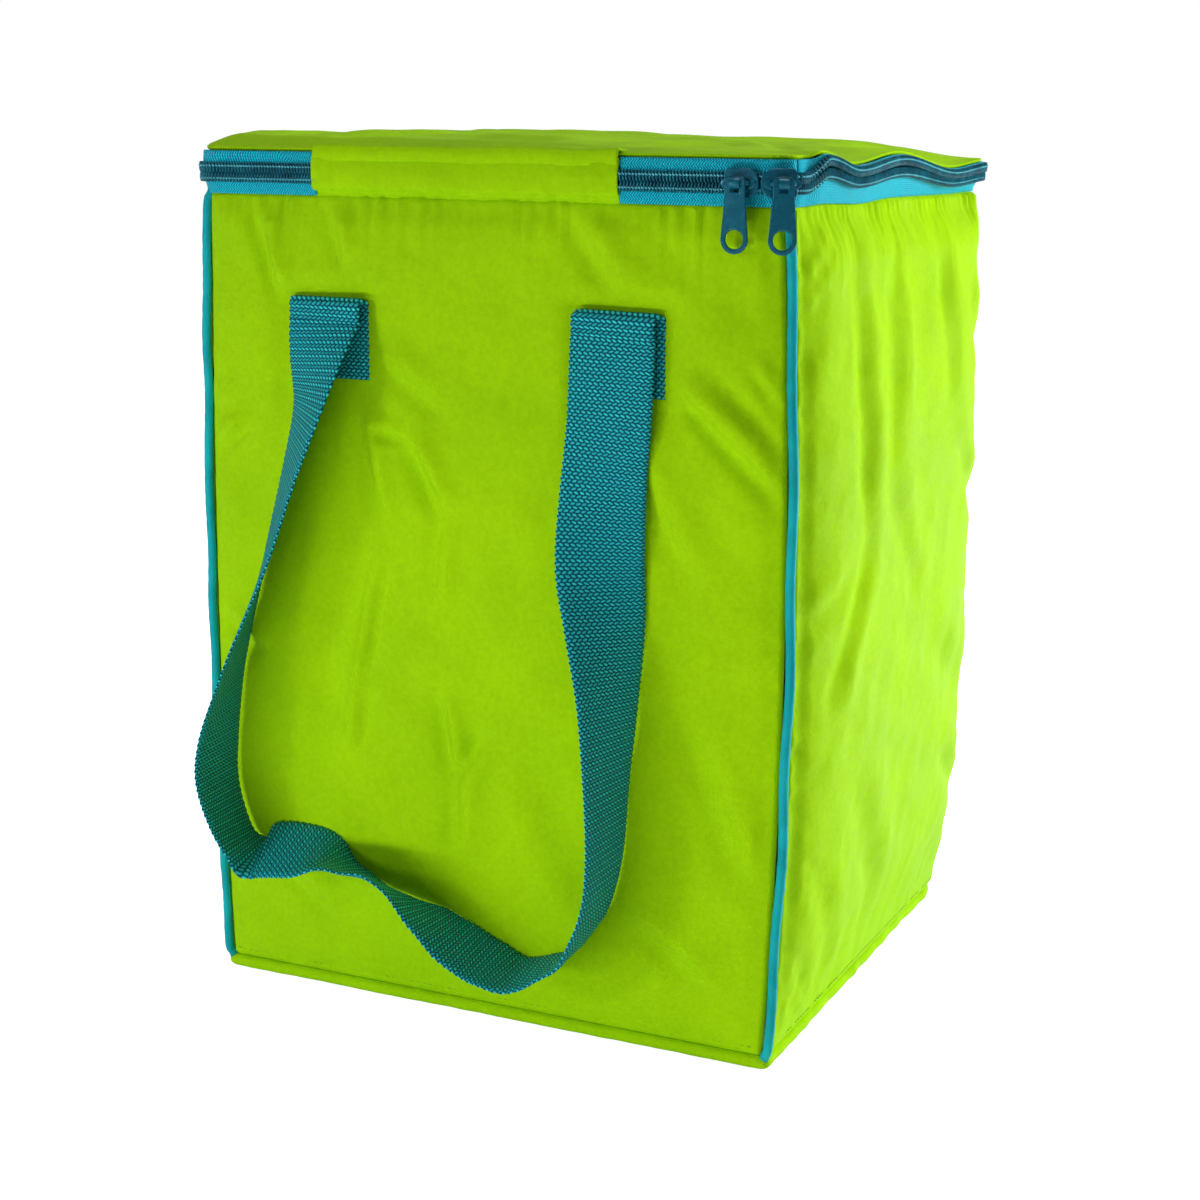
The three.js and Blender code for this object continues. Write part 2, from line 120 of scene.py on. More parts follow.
def through(value, knots, heights):
    """A curve through knots, level at each of them."""
    value = np.asarray(value, float)
    total = np.full_like(value, float(heights[0]))
    for i in range(len(knots) - 1):
        total = total + (heights[i + 1] - heights[i]) * smooth(knots[i], knots[i + 1], value)
    return total


def above(value, floor, softness=0.4):
    """The value, held softly above a floor."""
    return floor + softness * np.logaddexp(0, (value - floor) / softness)


def bell(value, centre, width):
    return np.exp(-(((np.asarray(value, float) - centre) / width) ** 2))


def unit(vectors):
    """Each vector made one long."""
    return vectors / np.maximum(np.linalg.norm(vectors, axis=-1, keepdims=True), 1e-9)


def travelled(path):
    """Distance from the start of a path to each of its points."""
    return np.concatenate([[0], np.cumsum(np.linalg.norm(np.diff(path, axis=0), axis=1))])


def read_along(at, travel, rows):
    """Every column of a table, read at other distances."""
    return np.stack([np.interp(at, travel, column) for column in np.transpose(rows)], axis=-1)


def level(plan, height):
    """Plan points lifted to one height, or each to its own."""
    return np.column_stack([plan, np.broadcast_to(height, len(plan))])


def waves(value, seed, wavelength, parts=6):
    """A smooth random ripple along one direction, about -1 to 1."""
    chance = np.random.default_rng(seed)
    total = np.zeros_like(np.asarray(value, float))
    for _ in range(parts):
        length = wavelength * chance.uniform(0.65, 1.6)
        total = total + np.sin(2 * np.pi * (value / length + chance.uniform()))
    return total / math.sqrt(parts)


def mottle(x, y, seed, size, parts=9):
    """A smooth random field over a surface, about -1 to 1."""
    chance = np.random.default_rng(seed)
    total = np.zeros_like(np.asarray(x, float) + np.asarray(y, float))
    for _ in range(parts):
        heading = chance.uniform(0, 2 * np.pi)
        length = size * chance.uniform(0.6, 1.7)
        along = x * math.cos(heading) + y * math.sin(heading)
        total = total + np.sin(2 * np.pi * (along / length + chance.uniform()))
    return total / math.sqrt(parts)


# ---------------------------------------------------------------- meshes


def raw_mesh(name, points, faces):
    """A mesh from millimetre points."""
    mesh = bpy.data.meshes.new(name)
    mesh.from_pydata((np.asarray(points, float) * MM).tolist(), [], faces)
    return mesh


def linked(name, data):
    thing = bpy.data.objects.new(name, data)
    bpy.context.scene.collection.objects.link(thing)
    return thing


def enlist(piece, body, stands_for):
    """Hide the CAD nodes that the piece replaces, and parent the piece to its body's empty."""
    if stands_for:
        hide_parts(*stands_for)
    if body:
        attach(piece, body)
    return piece


def new_piece(name, points, faces, material, body, stands_for=(), uv=None):
    """A mesh object from millimetre points. `uv` holds one millimetre pair for each point."""
    mesh = raw_mesh(name, points, faces)
    mesh.validate()
    mesh.polygons.foreach_set("use_smooth", [True] * len(mesh.polygons))
    if uv is not None:
        corners = np.zeros(len(mesh.loops), int)
        mesh.loops.foreach_get("vertex_index", corners)
        mesh.uv_layers.new(name="millimetres").data.foreach_set("uv", np.asarray(uv, float)[corners].ravel())
    mesh.materials.append(material)
    return enlist(linked(name, mesh), body, stands_for)


def new_sheet(name, front, thickness, u, v, material, body, stands_for=(), relief=0.0):
    """A closed piece of cloth: the given grid in front and its copy behind; `relief` swells both faces."""
    normal = unit(np.cross(np.gradient(front, axis=1), np.gradient(front, axis=0)))
    relief = np.broadcast_to(relief, front.shape[:2])[..., None]
    points, faces = closed_sheet(front + normal * relief, front - normal * (thickness + relief))
    uv = np.stack([u, v], axis=-1).reshape(-1, 2)
    return new_piece(name, points, faces, material, body, stands_for, uv=np.concatenate([uv, uv]))


def grid_faces(rows, columns, wrap=False, first=0, flip=False):
    """Quads over a grid of points; `wrap` joins the last column to the first."""
    faces = []
    for row in range(rows - 1):
        for column in range(columns if wrap else columns - 1):
            a = first + row * columns + column
            b = first + row * columns + (column + 1) % columns
            quad = (a, b, b + columns, a + columns)
            faces.append(quad[::-1] if flip else quad)
    return faces


def closed_sheet(front, back):
    """Points and faces of a closed sheet between two grids of the same shape."""
    rows, columns, _ = front.shape
    count = rows * columns
    index = np.arange(count).reshape(rows, columns)
    edge = np.concatenate([index[0], index[1:, -1], index[-1, -2::-1], index[-2:0:-1, 0]]).tolist()
    faces = grid_faces(rows, columns) + grid_faces(rows, columns, first=count, flip=True)
    faces += [(there, here, here + count, there + count) for here, there in zip(edge, edge[1:] + edge[:1])]
    return np.concatenate([front.reshape(-1, 3), back.reshape(-1, 3)]), faces


def loft(rings, wrap_rows=False):
    """Points and faces through closed rings; the ends close on their middle points."""
    rings = np.array(rings)
    rows, columns, _ = rings.shape
    points = rings.reshape(-1, 3)
    faces = grid_faces(rows, columns, wrap=True)
    last, middle = (rows - 1) * columns, rows * columns
    for a in range(columns):
        b = (a + 1) % columns
        if wrap_rows:
            faces.append((last + a, last + b, b, a))
        else:
            faces += [(middle, b, a), (last + a, last + b, middle + 1)]
    if not wrap_rows:
        points = np.concatenate([points, [rings[0].mean(0), rings[-1].mean(0)]])
    return points, faces


def tube(path, radius, sides):
    """Rings round a path; `radius` may be one number or one for each point."""
    path = np.asarray(path, float)
    tangent = unit(np.gradient(path, axis=0))
    guide = (0.0, 0.0, 1.0) if abs(tangent[0][2]) < 0.8 else (0.0, 1.0, 0.0)
    side = unit(np.cross(tangent, guide))
    other = np.cross(side, tangent)
    angle = np.linspace(0, 2 * np.pi, sides, endpoint=False)[:, None]
    circle = np.cos(angle) * side[:, None] + np.sin(angle) * other[:, None]
    return path[:, None] + np.broadcast_to(radius, len(path))[:, None, None] * circle


def rod_template(length, half_width, half_depth, around=6, along=4):
    """A small rounded bar along its own z, for teeth and stitches."""
    angle = np.linspace(0, 2 * np.pi, around, endpoint=False)
    section = np.column_stack([np.cos(angle) * half_width, np.sin(angle) * half_depth])
    turns = np.linspace(-np.pi / 2, np.pi / 2, along + 2)[1:-1]
    return loft([level(section * max(0.35, math.cos(t)) ** 0.45, math.sin(t) * length / 2) for t in turns])


def scatter(template, places, axes):
    """Copies of a template, each at a place with its own three axes as rows."""
    points, faces = template
    moved = np.einsum("pk,nkj->npj", points, axes) + places[:, None]
    copied = []
    for first in range(0, len(points) * len(places), len(points)):
        copied += [tuple(corner + first for corner in face) for face in faces]
    return moved.reshape(-1, 3), copied


# ---------------------------------------------------------------- shading helpers


FINISH_INPUTS = {
    "colour": "Base Color", "roughness": "Roughness", "normal": "Normal", "metal": "Metallic",
    "sheen": "Sheen Weight", "sheen_roughness": "Sheen Roughness", "sheen_tint": "Sheen Tint",
    "coat": "Coat Weight", "coat_roughness": "Coat Roughness", "specular": "Specular IOR Level",
    "specular_tint": "Specular Tint", "glow": "Emission Strength", "glow_colour": "Emission Color",
}


class Shading:
    """Builds one node material. Its methods return sockets, so that they can be nested."""

    def __init__(self, name):
        self.material = bpy.data.materials.new(name)
        self.material.use_nodes = True
        self.tree = self.material.node_tree
        self.tree.nodes.clear()
        self.surface = self.node("BsdfPrincipled")
        self.node("OutputMaterial", {"Surface": self.surface.outputs["BSDF"]})

    def node(self, kind, inputs=None, **settings):
        """A new node with its settings and its inputs."""
        node = self.tree.nodes.new("ShaderNode" + kind)
        for key, value in settings.items():
            setattr(node, key, value)
        self.fill(node, inputs or {})
        return node

    def fill(self, node, inputs):
        """Give numbers, colours or sockets to inputs, by their names or numbers."""
        for key, value in inputs.items():
            if isinstance(value, bpy.types.NodeSocket):
                self.tree.links.new(value, node.inputs[key])
            else:
                node.inputs[key].default_value = value

    def math(self, operation, a, b=0.0, c=0.0):
        return self.node("Math", {0: a, 1: b, 2: c}, operation=operation).outputs[0]

    def add(self, a, b):
        return self.math("ADD", a, b)

    def times(self, a, b):
        return self.math("MULTIPLY", a, b)

    def wave(self, value, period):
        return self.math("SINE", self.times(value, 2 * math.pi / period))

    def spread(self, value, low, high, out_low=0.0, out_high=1.0):
        inputs = {0: value, 1: low, 2: high, 3: out_low, 4: out_high}
        return self.node("MapRange", inputs, interpolation_type="SMOOTHSTEP").outputs[0]

    def mix(self, share, first, second):
        """A colour between two colours."""
        return self.node("Mix", {"Factor": share, 6: first, 7: second}, data_type="RGBA").outputs[2]

    def place(self):
        return self.node("TexCoord").outputs["Object"]

    def sheet(self):
        """The piece's own millimetre coordinates, as two numbers."""
        node = self.node("SeparateXYZ", {0: self.node("TexCoord").outputs["UV"]})
        return node.outputs[0], node.outputs[1]

    def noise(self, size, detail=2.0, rough=0.5):
        """Noise whose patches are about `size` millimetres."""
        inputs = {"Vector": self.place(), "Scale": 1.0 / (size * MM), "Detail": detail, "Roughness": rough}
        return self.node("TexNoise", inputs).outputs["Fac"]

    def bump(self, height, depth, strength=1.0, over=None):
        """Height is 0 to 1 and `depth` is its full relief in millimetres."""
        inputs = {"Strength": strength, "Distance": depth * MM, "Height": height}
        if over is not None:
            inputs["Normal"] = over
        return self.node("Bump", inputs).outputs[0]

    def finish(self, **inputs):
        self.fill(self.surface, {FINISH_INPUTS[key]: value for key, value in inputs.items()})
        return self.material


# ---------------------------------------------------------------- materials


def coated_fabric(name, colour, deep):
    """Coated polyester: a fine basket weave, slight slubs, soft sheen and cloudy unevenness."""
    shade = Shading(name)
    u, v = shade.sheet()
    yarn = 1.1
    basket = shade.times(shade.wave(u, yarn), shade.wave(v, yarn))
    ribs = shade.add(shade.wave(u, yarn / 2), shade.wave(v, yarn / 2))
    slub = shade.noise(2.4, detail=3)
    cloud = shade.noise(55, detail=3)
    crumple = shade.noise(17, detail=4, rough=0.55)
    tone = shade.add(shade.times(basket, 0.45), shade.times(shade.add(slub, -0.5), 0.7))
    tone = shade.add(tone, shade.times(shade.add(cloud, -0.5), 0.8))
    base = shade.mix(shade.spread(tone, -0.6, 0.6), deep, colour)
    cloth = shade.bump(shade.add(basket, shade.times(ribs, 0.2)), 0.06, 0.7)
    cloth = shade.bump(crumple, 1.2, 0.8, over=cloth)
    rough = shade.spread(shade.add(cloud, shade.times(slub, 0.4)), 0.4, 1.0, 0.40, 0.56)
    return shade.finish(colour=base, roughness=rough, normal=cloth, sheen=0.15, sheen_roughness=0.4,
                        sheen_tint=colour, specular=0.14, specular_tint=(0.55, 1.0, 0.03, 1))


def webbing_material():
    """Woven polypropylene: slanted floats in rows, with a painted highlight on the floats' tops and painted
    shade in deep teal between them.
    """
    shade = Shading("webbing_weave")
    u, v = shade.sheet()
    row = shade.times(v, 2 / RIB_PITCH)
    odd = shade.math("ABSOLUTE", shade.math("MODULO", shade.math("FLOOR", row), 2.0))
    lean = shade.math("MULTIPLY_ADD", odd, 1.1, -0.55)
    row_share = shade.add(shade.math("FRACT", row), -0.5)
    float_pitch = 2.55
    column = shade.add(shade.times(u, 1 / float_pitch), shade.times(odd, 0.5))
    column_share = shade.add(shade.math("FRACT", shade.add(column, shade.times(row_share, lean))), -0.5)
    apart = shade.add(shade.math("POWER", shade.times(row_share, 2.0), 2.0),
                      shade.math("POWER", shade.times(column_share, 2.3), 2.0))
    float_top = shade.spread(apart, 1.15, 0.15)
    fray = shade.noise(1.1, detail=3)
    fade = shade.noise(30, detail=2)
    height = shade.times(float_top, shade.spread(fray, 0.2, 0.8, 0.6, 1.0))
    height = shade.times(height, shade.math("MULTIPLY_ADD", odd, -0.35, 1.0))
    # Painted highlight and shade: the colour follows the floats' relief, bright where they stand up and deep
    # teal in the hollows between them; fray and fade add random tone.
    base = shade.mix(height, (0.001, 0.07, 0.12, 1), (0.06, 0.95, 1.0, 1))
    base = shade.mix(shade.spread(fade, 0.35, 0.7, 0.0, 0.15), base, (0.006, 0.31, 0.42, 1))
    return shade.finish(colour=base, roughness=shade.spread(fray, 0.2, 0.8, 0.5, 0.66),
                        normal=shade.bump(height, 0.5, 1.0), specular=0.3, specular_tint=(0.2, 0.9, 1.0, 1))


def ribbed_tape(name, colour, deep, pitch, slant):
    """Woven tape: slanted ribs that meet in a herringbone, with painted shade in the grooves between the
    ribs.
    """
    shade = Shading(name)
    u, v = shade.sheet()
    zigzag = shade.math("PINGPONG", v, 1.6)
    ribs = shade.wave(shade.add(u, shade.times(zigzag, slant)), pitch)
    fine = shade.wave(v, 0.55)
    fuzz = shade.noise(1.6, detail=3)
    height = shade.add(shade.times(ribs, 0.35), shade.add(shade.times(fine, 0.1), 0.5))
    # Painted shade: the colour follows the ribs' relief, darker in the grooves between them; the fuzz adds
    # random tone.
    tone = shade.add(height, shade.times(shade.add(fuzz, -0.5), 0.5))
    base = shade.mix(shade.spread(tone, 0.1, 0.9), deep, colour)
    return shade.finish(colour=base, roughness=shade.spread(fuzz, 0.3, 0.7, 0.5, 0.7),
                        normal=shade.bump(height, 0.3, 0.9), sheen=0.05, specular=0.3,
                        specular_tint=(0.1, 0.85, 1.0, 1))


def piping_material():
    """Bias-cut cover drawn over a cord, with a soft gloss and faint diagonal threads."""
    shade = Shading("piping_cover")
    u, v = shade.sheet()
    threads = shade.wave(shade.add(u, v), 0.9)
    cloud = shade.noise(18, detail=3)
    base = shade.mix(shade.spread(cloud, 0.3, 0.7), (0.006, 0.36, 0.43, 1), (0.012, 0.50, 0.56, 1))
    return shade.finish(colour=base, roughness=shade.spread(cloud, 0.3, 0.7, 0.32, 0.46),
                        normal=shade.bump(threads, 0.04, 0.5), specular=0.45,
                        specular_tint=(0.15, 0.9, 1.0, 1))


def nylon(name, colour, deep, roughness):
    """Solid nylon monofilament or sewing thread with fine twist."""
    shade = Shading(name)
    twist = shade.noise(0.6, detail=2)
    cloud = shade.noise(9, detail=2)
    tone = shade.add(shade.times(twist, 0.5), shade.times(cloud, 0.5))
    base = shade.mix(shade.spread(tone, 0.35, 0.65), deep, colour)
    return shade.finish(colour=base, roughness=shade.spread(twist, 0.3, 0.7, roughness, roughness + 0.15),
                        normal=shade.bump(twist, 0.06, 0.5), specular=0.5)


def enamel_material():
    """Glossy paint on die-cast metal, with orange peel and paler rubbed patches."""
    shade = Shading("slider_enamel")
    peel = shade.noise(0.8, detail=2)
    rubbed = shade.noise(4.5, detail=4, rough=0.6)
    base = shade.mix(shade.spread(rubbed, 0.52, 0.75), (0.001, 0.13, 0.21, 1), (0.003, 0.22, 0.33, 1))
    return shade.finish(colour=base, roughness=shade.spread(rubbed, 0.3, 0.7, 0.2, 0.36), metal=0.15,
                        normal=shade.bump(peel, 0.05, 0.4), coat=0.25, coat_roughness=0.2, specular=0.3)


def foam_material():
    """White closed-cell foam board."""
    shade = Shading("foam_cells")
    cell_size = 1.4 * MM
    cells = shade.node("TexVoronoi", {"Scale": 1.0 / cell_size, "Vector": shade.place()})
    cloud = shade.noise(40)
    base = shade.mix(cloud, (0.78, 0.78, 0.74, 1), (0.88, 0.88, 0.85, 1))
    return shade.finish(colour=base, roughness=shade.spread(cloud, 0.3, 0.7, 0.75, 0.9),
                        normal=shade.bump(cells.outputs["Distance"], 0.3, 0.5))


def foil_material():
    """Aluminised film lining, dull silver with a crinkled surface."""
    shade = Shading("foil_lining")
    crinkle = shade.noise(9, detail=5, rough=0.6)
    haze = shade.noise(35, detail=2)
    base = shade.mix(shade.spread(haze, 0.3, 0.7), (0.58, 0.59, 0.61, 1), (0.72, 0.73, 0.74, 1))
    return shade.finish(colour=base, roughness=shade.spread(haze, 0.3, 0.7, 0.3, 0.45), metal=0.75,
                        normal=shade.bump(crinkle, 0.9, 0.6))


LIME = coated_fabric("lime_fabric", (0.46, 0.84, 0.004, 1), (0.30, 0.62, 0.003, 1))
WEBBING_CLOTH = webbing_material()
# The second colour of each tape is the painted shade in its rib grooves.
TAPE_CLOTH = ribbed_tape("zip_tape", (0.02, 0.76, 0.95, 1), (0.004, 0.17, 0.29, 1), 1.25, 0.9)
BINDING_CLOTH = ribbed_tape("binding_tape", (0.014, 0.40, 0.52, 1), (0.006, 0.22, 0.32, 1), 1.7, 0.5)
PIPING_COVER = piping_material()
COIL_NYLON = nylon("coil_nylon", (0.006, 0.21, 0.29, 1), (0.003, 0.08, 0.13, 1), 0.25)
ZIP_THREAD = nylon("zip_thread", (0.16, 0.68, 0.80, 1), (0.06, 0.42, 0.55, 1), 0.5)
LIME_THREAD = nylon("lime_thread", (0.22, 0.50, 0.006, 1), (0.12, 0.34, 0.004, 1), 0.55)
ENAMEL = enamel_material()
FOAM = foam_material()
FOIL = foil_material()


# ---------------------------------------------------------------- plan outline of the walls
# `s` runs round the bag in millimetres: front left corner, front, right side, back, left side.

SIDE_LENGTHS = np.array([2 * HALF_WIDTH, 2 * HALF_DEPTH, 2 * HALF_WIDTH, 2 * HALF_DEPTH])
SIDE_STARTS = np.concatenate([[0], np.cumsum(SIDE_LENGTHS)[:3]])
PERIMETER = SIDE_LENGTHS.sum()
SIDE_NAMES = ["front", "right", "back", "left"]
DIRECTIONS = np.array([(1.0, 0.0), (0.0, 1.0), (-1.0, 0.0), (0.0, -1.0)])
OUTWARD = np.array([(0.0, -1.0), (1.0, 0.0), (0.0, 1.0), (-1.0, 0.0)])
CORNERS = (OUTWARD - DIRECTIONS) * (HALF_WIDTH, HALF_DEPTH)
FRONT_CORNER = 4.0
BACK_CORNER = 18.0
CORNER_RADII = np.array([FRONT_CORNER, FRONT_CORNER, BACK_CORNER, BACK_CORNER])


def outline(s):
    """Plan points and outward normals of the walls' rounded rectangle."""
    s = np.mod(np.asarray(s, float), PERIMETER)
    side = np.searchsorted(SIDE_STARTS, s, side="right") - 1
    along = s - SIDE_STARTS[side]
    left = SIDE_LENGTHS[side] - along
    start_radius = CORNER_RADII[side]
    end_radius = CORNER_RADII[(side + 1) % 4]
    direction, normal = DIRECTIONS[side], OUTWARD[side]
    starting, ending = along < start_radius, left < end_radius
    turn = np.where(starting, along / start_radius - 1, np.where(ending, 1 - left / end_radius, 0.0))
    turn = turn * np.pi / 4
    radius = np.where(starting, start_radius, np.where(ending, end_radius, 0.0))
    facing = np.cos(turn)[..., None] * normal + np.sin(turn)[..., None] * direction
    on_side = np.where(starting, start_radius, np.where(ending, SIDE_LENGTHS[side] - end_radius, along))
    point = CORNERS[side] + on_side[..., None] * direction + radius[..., None] * (facing - normal)
    return point, facing


def bowed(x, y, z):
    """The side walls bow out between top and bottom, the right one most. The handles hold the others flat."""
    rise = np.clip((z - WALL_BOTTOM) / (WALL_TOP - WALL_BOTTOM), 0, 1)
    swell = np.sin(np.pi * rise) ** 0.75
    full_top = np.sin(np.pi * rise**1.5) ** 0.3
    swell = swell + (full_top - swell) * smooth(-80, 60, y)
    depths = [-HALF_DEPTH, 0, HALF_DEPTH]
    right = np.interp(y, depths, [5.8, 5.6, 8.5])
    left = np.interp(y, depths, [4.0, 6.0, 6.5])
    x_shift = x / HALF_WIDTH * np.where(x > 0, right, left) * swell
    return x + x_shift, y


def right_rim(x, y):
    """1 on the right side behind slider 2, fading to 0 elsewhere."""
    return smooth(0.6 * HALF_WIDTH, HALF_WIDTH, x) * smooth(-117, -103, y)


def rim_wave(x, y):
    """How far the soft rim is pushed outwards and lifted at a plan point. It is still at the sliders."""
    right = right_rim(x, y)
    out = right * through(y, [-110, -67, -3, 83], [4.2, 5.8, 4.6, 5.6])
    lift = right * through(y, [-117, -103, -67, -3, 80, 128], [4.5, 6.8, 1.6, 5.4, -2.2, 0.4])
    far_corner = np.exp(-((x - HALF_WIDTH) ** 2 + (y - HALF_DEPTH) ** 2) / 38.0**2)
    near_corner = np.exp(-((x + HALF_WIDTH) ** 2 + (y + HALF_DEPTH) ** 2) / 24.0**2)
    rest = smooth(60, 125, np.maximum(-x, y)) * (1 - right) * smooth(-118, -90, y)
    out = out + 3.5 * far_corner + 3.0 * near_corner + rest * (1.6 + 1.3 * waves(x + y, 5, 95))
    lift = lift + rest * 1.3 * waves(x - y, 6, 110)
    return out, lift


def seam_lift(x, y):
    """The wall's top seam sags a little behind the right front corner."""
    return -0.9 * right_rim(x, y) * bell(y, -50, 22) + 0.1 * rim_wave(x, y)[1]


# ---------------------------------------------------------------- padded shell

SIM_STEP = 6.5
SIM_FRAMES = 22
PUFF_CAP = 7.0
FOAM_STOP = -0.7  # the fabric can't sink further than this before it lies on the foam board


CLOTH_SETTINGS = {
    "quality": 5, "mass": 0.15, "tension_stiffness": 12, "compression_stiffness": 12, "shear_stiffness": 4,
    "bending_stiffness": 0.35, "tension_damping": 8, "compression_damping": 8, "vertex_group_mass": "pins",
    "use_pressure": True, "uniform_pressure_force": 2.0, "shrink_min": -0.003,
}


def simulate_puff(s, z):
    """Cloth simulation of the slack outer fabric, held at the top and bottom seams and at the piping."""
    rows, columns = len(z), len(s)
    grid_s, grid_z = np.meshgrid(s, z)
    plan, facing = outline(grid_s)
    x, y = bowed(plan[..., 0], plan[..., 1], grid_z)
    start = np.stack([x, y, grid_z], axis=2).reshape(-1, 3)
    cloth_object = linked("puff_test", raw_mesh("puff_test", start, grid_faces(rows, columns, wrap=True)))

    piping_columns = [int(np.argmin(np.abs(s - at))) for at in (0.0, SIDE_STARTS[1])]
    held = [row * columns + column for row in (0, rows - 1) for column in range(columns)]
    held += [row * columns + column for row in range(rows) for column in piping_columns]
    cloth_object.vertex_groups.new(name="pins").add(sorted(set(held)), 1.0, "REPLACE")

    cloth = cloth_object.modifiers.new("Cloth", "CLOTH")
    for key, value in CLOTH_SETTINGS.items():
        setattr(cloth.settings, key, value)
    cloth.settings.effector_weights.gravity = 0
    cloth.point_cache.frame_start = 1
    cloth.point_cache.frame_end = SIM_FRAMES
    scene = bpy.context.scene
    for number in range(1, SIM_FRAMES + 1):
        scene.frame_set(number)
    settled = cloth_object.evaluated_get(bpy.context.evaluated_depsgraph_get())
    moved = np.zeros(len(start) * 3)
    settled.data.vertices.foreach_get("co", moved)
    shift = moved.reshape(-1, 3) / MM - start
    bpy.data.objects.remove(cloth_object)
    scene.frame_set(1)
    outwards = np.einsum("rck,rck->rc", shift.reshape(rows, columns, 3)[..., :2], facing)
    return PUFF_CAP * np.tanh(np.maximum(outwards, FOAM_STOP) / PUFF_CAP)


def curved_sample(field, row, column):
    """Catmull-Rom reading of a grid that wraps along its columns."""
    rows, columns = field.shape
    row = np.clip(row, 0, rows - 1.0001)
    first_row, first_column = np.floor(row).astype(int), np.floor(column).astype(int)

    def weights(t):
        return ((-t + 2 * t * t - t**3) / 2, (2 - 5 * t * t + 3 * t**3) / 2,
                (t + 4 * t * t - 3 * t**3) / 2, (t**3 - t * t) / 2)

    total = np.zeros_like(row, float)
    for i, row_weight in enumerate(weights(row - first_row)):
        at_row = np.clip(first_row + i - 1, 0, rows - 1)
        for j, column_weight in enumerate(weights(column - first_column)):
            total += row_weight * column_weight * field[at_row, (first_column + j - 1) % columns]
    return total


class Shell:
    """The outer surface of the four walls."""

    def __init__(self):
        columns = int(round(PERIMETER / SIM_STEP / 2)) * 2
        rows = int(round((WALL_TOP - WALL_BOTTOM) / SIM_STEP)) + 1
        self.s = np.linspace(0, PERIMETER, columns, endpoint=False)
        self.z = np.linspace(WALL_BOTTOM, WALL_TOP, rows)
        self.puff = simulate_puff(self.s, self.z)

    def swell(self, s, z):
        column = np.mod(s, PERIMETER) / (self.s[1] - self.s[0])
        row = (z - self.z[0]) / (self.z[1] - self.z[0])
        return curved_sample(self.puff, row, column)

    def point(self, s, z, out):
        plan, facing = outline(s)
        x, y = bowed(plan[..., 0], plan[..., 1], z)
        push, _ = rim_wave(plan[..., 0], plan[..., 1])
        out = out + 0.5 * push * smooth(WALL_TOP - 45, WALL_TOP, z)
        rise = seam_lift(plan[..., 0], plan[..., 1]) * smooth(WALL_TOP - 60, WALL_TOP, z)
        return np.stack([x + facing[..., 0] * out, y + facing[..., 1] * out, z + rise], axis=-1)


shell = Shell()


CREASE_STRENGTH = 2.4


def crease(u, v, start, end, depth, width):
    """A soft fold along a line: a dent beside a low ridge, fading at both ends."""
    line = np.subtract(end, start).astype(float)
    length = np.linalg.norm(line)
    unit_u, unit_v = line / length
    from_u, from_v = u - start[0], v - start[1]
    along = (from_u * unit_u + from_v * unit_v) / length
    apart = from_v * unit_u - from_u * unit_v
    fade = smooth(-0.15, 0.3, along) * smooth(1.15, 0.7, along)
    section = bell(apart, 0, width) - 0.75 * bell(apart, 1.5 * width, 1.3 * width)
    return CREASE_STRENGTH * fade * depth * section


def creases(u, v, folds):
    """All the folds of one surface together."""
    return sum(crease(u, v, *fold) for fold in folds)


def tuck(distance, radius, depth):
    """How far fabric rolls in at a sewn edge, from its distance to that edge."""
    share = np.clip(1 - distance / radius, 0, 1)
    return depth * (1 - np.sqrt(np.maximum(1 - share**2, 0)))


def seam_puckers(along, distance, seed, pitch, depth, reach):
    """Small gathers that the stitching draws into the fabric beside a seam."""
    pattern = waves(along, seed, pitch)
    strength = 0.6 + 0.4 * waves(along, seed + 1, 9 * pitch)
    return depth * strength * pattern * np.exp(-distance / reach) * smooth(0, 3, distance)


# Soft folds in each wall, as (start, end, depth, width); u is from the wall's left edge, v is height.
FRONT_FOLDS = [
    ((79, 283), (92, 223), -1.5, 4), ((89, 268), (104, 266), -1.0, 3), ((104, 266), (121, 234), -1.9, 4.5),
    ((121, 234), (117, 195), -1.1, 4), ((91, 213), (78, 150), 1.2, 3.5), ((78, 150), (75, 120), 1.0, 4),
    ((119, 153), (127, 113), -1.6, 4), ((142, 136), (127, 110), -1.3, 4), ((127, 113), (127, 80), -1.3, 5),
    ((226, 297), (278, 247), -1.8, 4), ((240, 300), (279, 262), 1.1, 4), ((262, 306), (278, 282), -1.0, 3),
    ((27, 365), (41, 322), -1.7, 4), ((63, 371), (72, 342), -1.3, 4), ((179, 370), (203, 330), -1.3, 6),
    ((91, 300), (124, 276), -1.0, 5), ((66, 240), (44, 110), 1.2, 10), ((150, 120), (190, 50), 1.0, 11),
    ((236, 150), (262, 84), -1.3, 7), ((30, 62), (64, 34), -0.9, 5), ((206, 268), (236, 214), -1.1, 6),
    ((4, 250), (26, 268), -1.0, 3.5), ((6, 176), (30, 160), -1.0, 4), ((210, 60), (250, 34), -1.0, 5),
]
RIGHT_FOLDS = [
    ((56, 356), (66, 214), -2.2, 9), ((108, 350), (98, 236), -1.7, 10), ((66, 222), (28, 160), -1.8, 7),
    ((92, 246), (142, 186), -1.4, 9), ((8, 196), (48, 214), -1.2, 6), ((176, 352), (186, 262), -1.8, 10),
    ((196, 250), (244, 214), -2.0, 7), ((150, 170), (232, 120), -1.4, 11), ((60, 120), (118, 34), -1.6, 12),
    ((196, 96), (244, 62), -1.8, 7), ((28, 84), (56, 26), -1.2, 8), ((218, 330), (246, 284), -1.6, 7),
]
BACK_FOLDS = [
    ((60, 340), (80, 220), -1.6, 10), ((200, 330), (176, 226), -1.6, 10), ((126, 210), (150, 96), -1.5, 12),
    ((8, 190), (50, 210), -1.2, 6), ((272, 150), (232, 172), -1.3, 7), ((70, 84), (112, 30), -1.4, 9),
    ((216, 90), (250, 40), -1.2, 8),
]
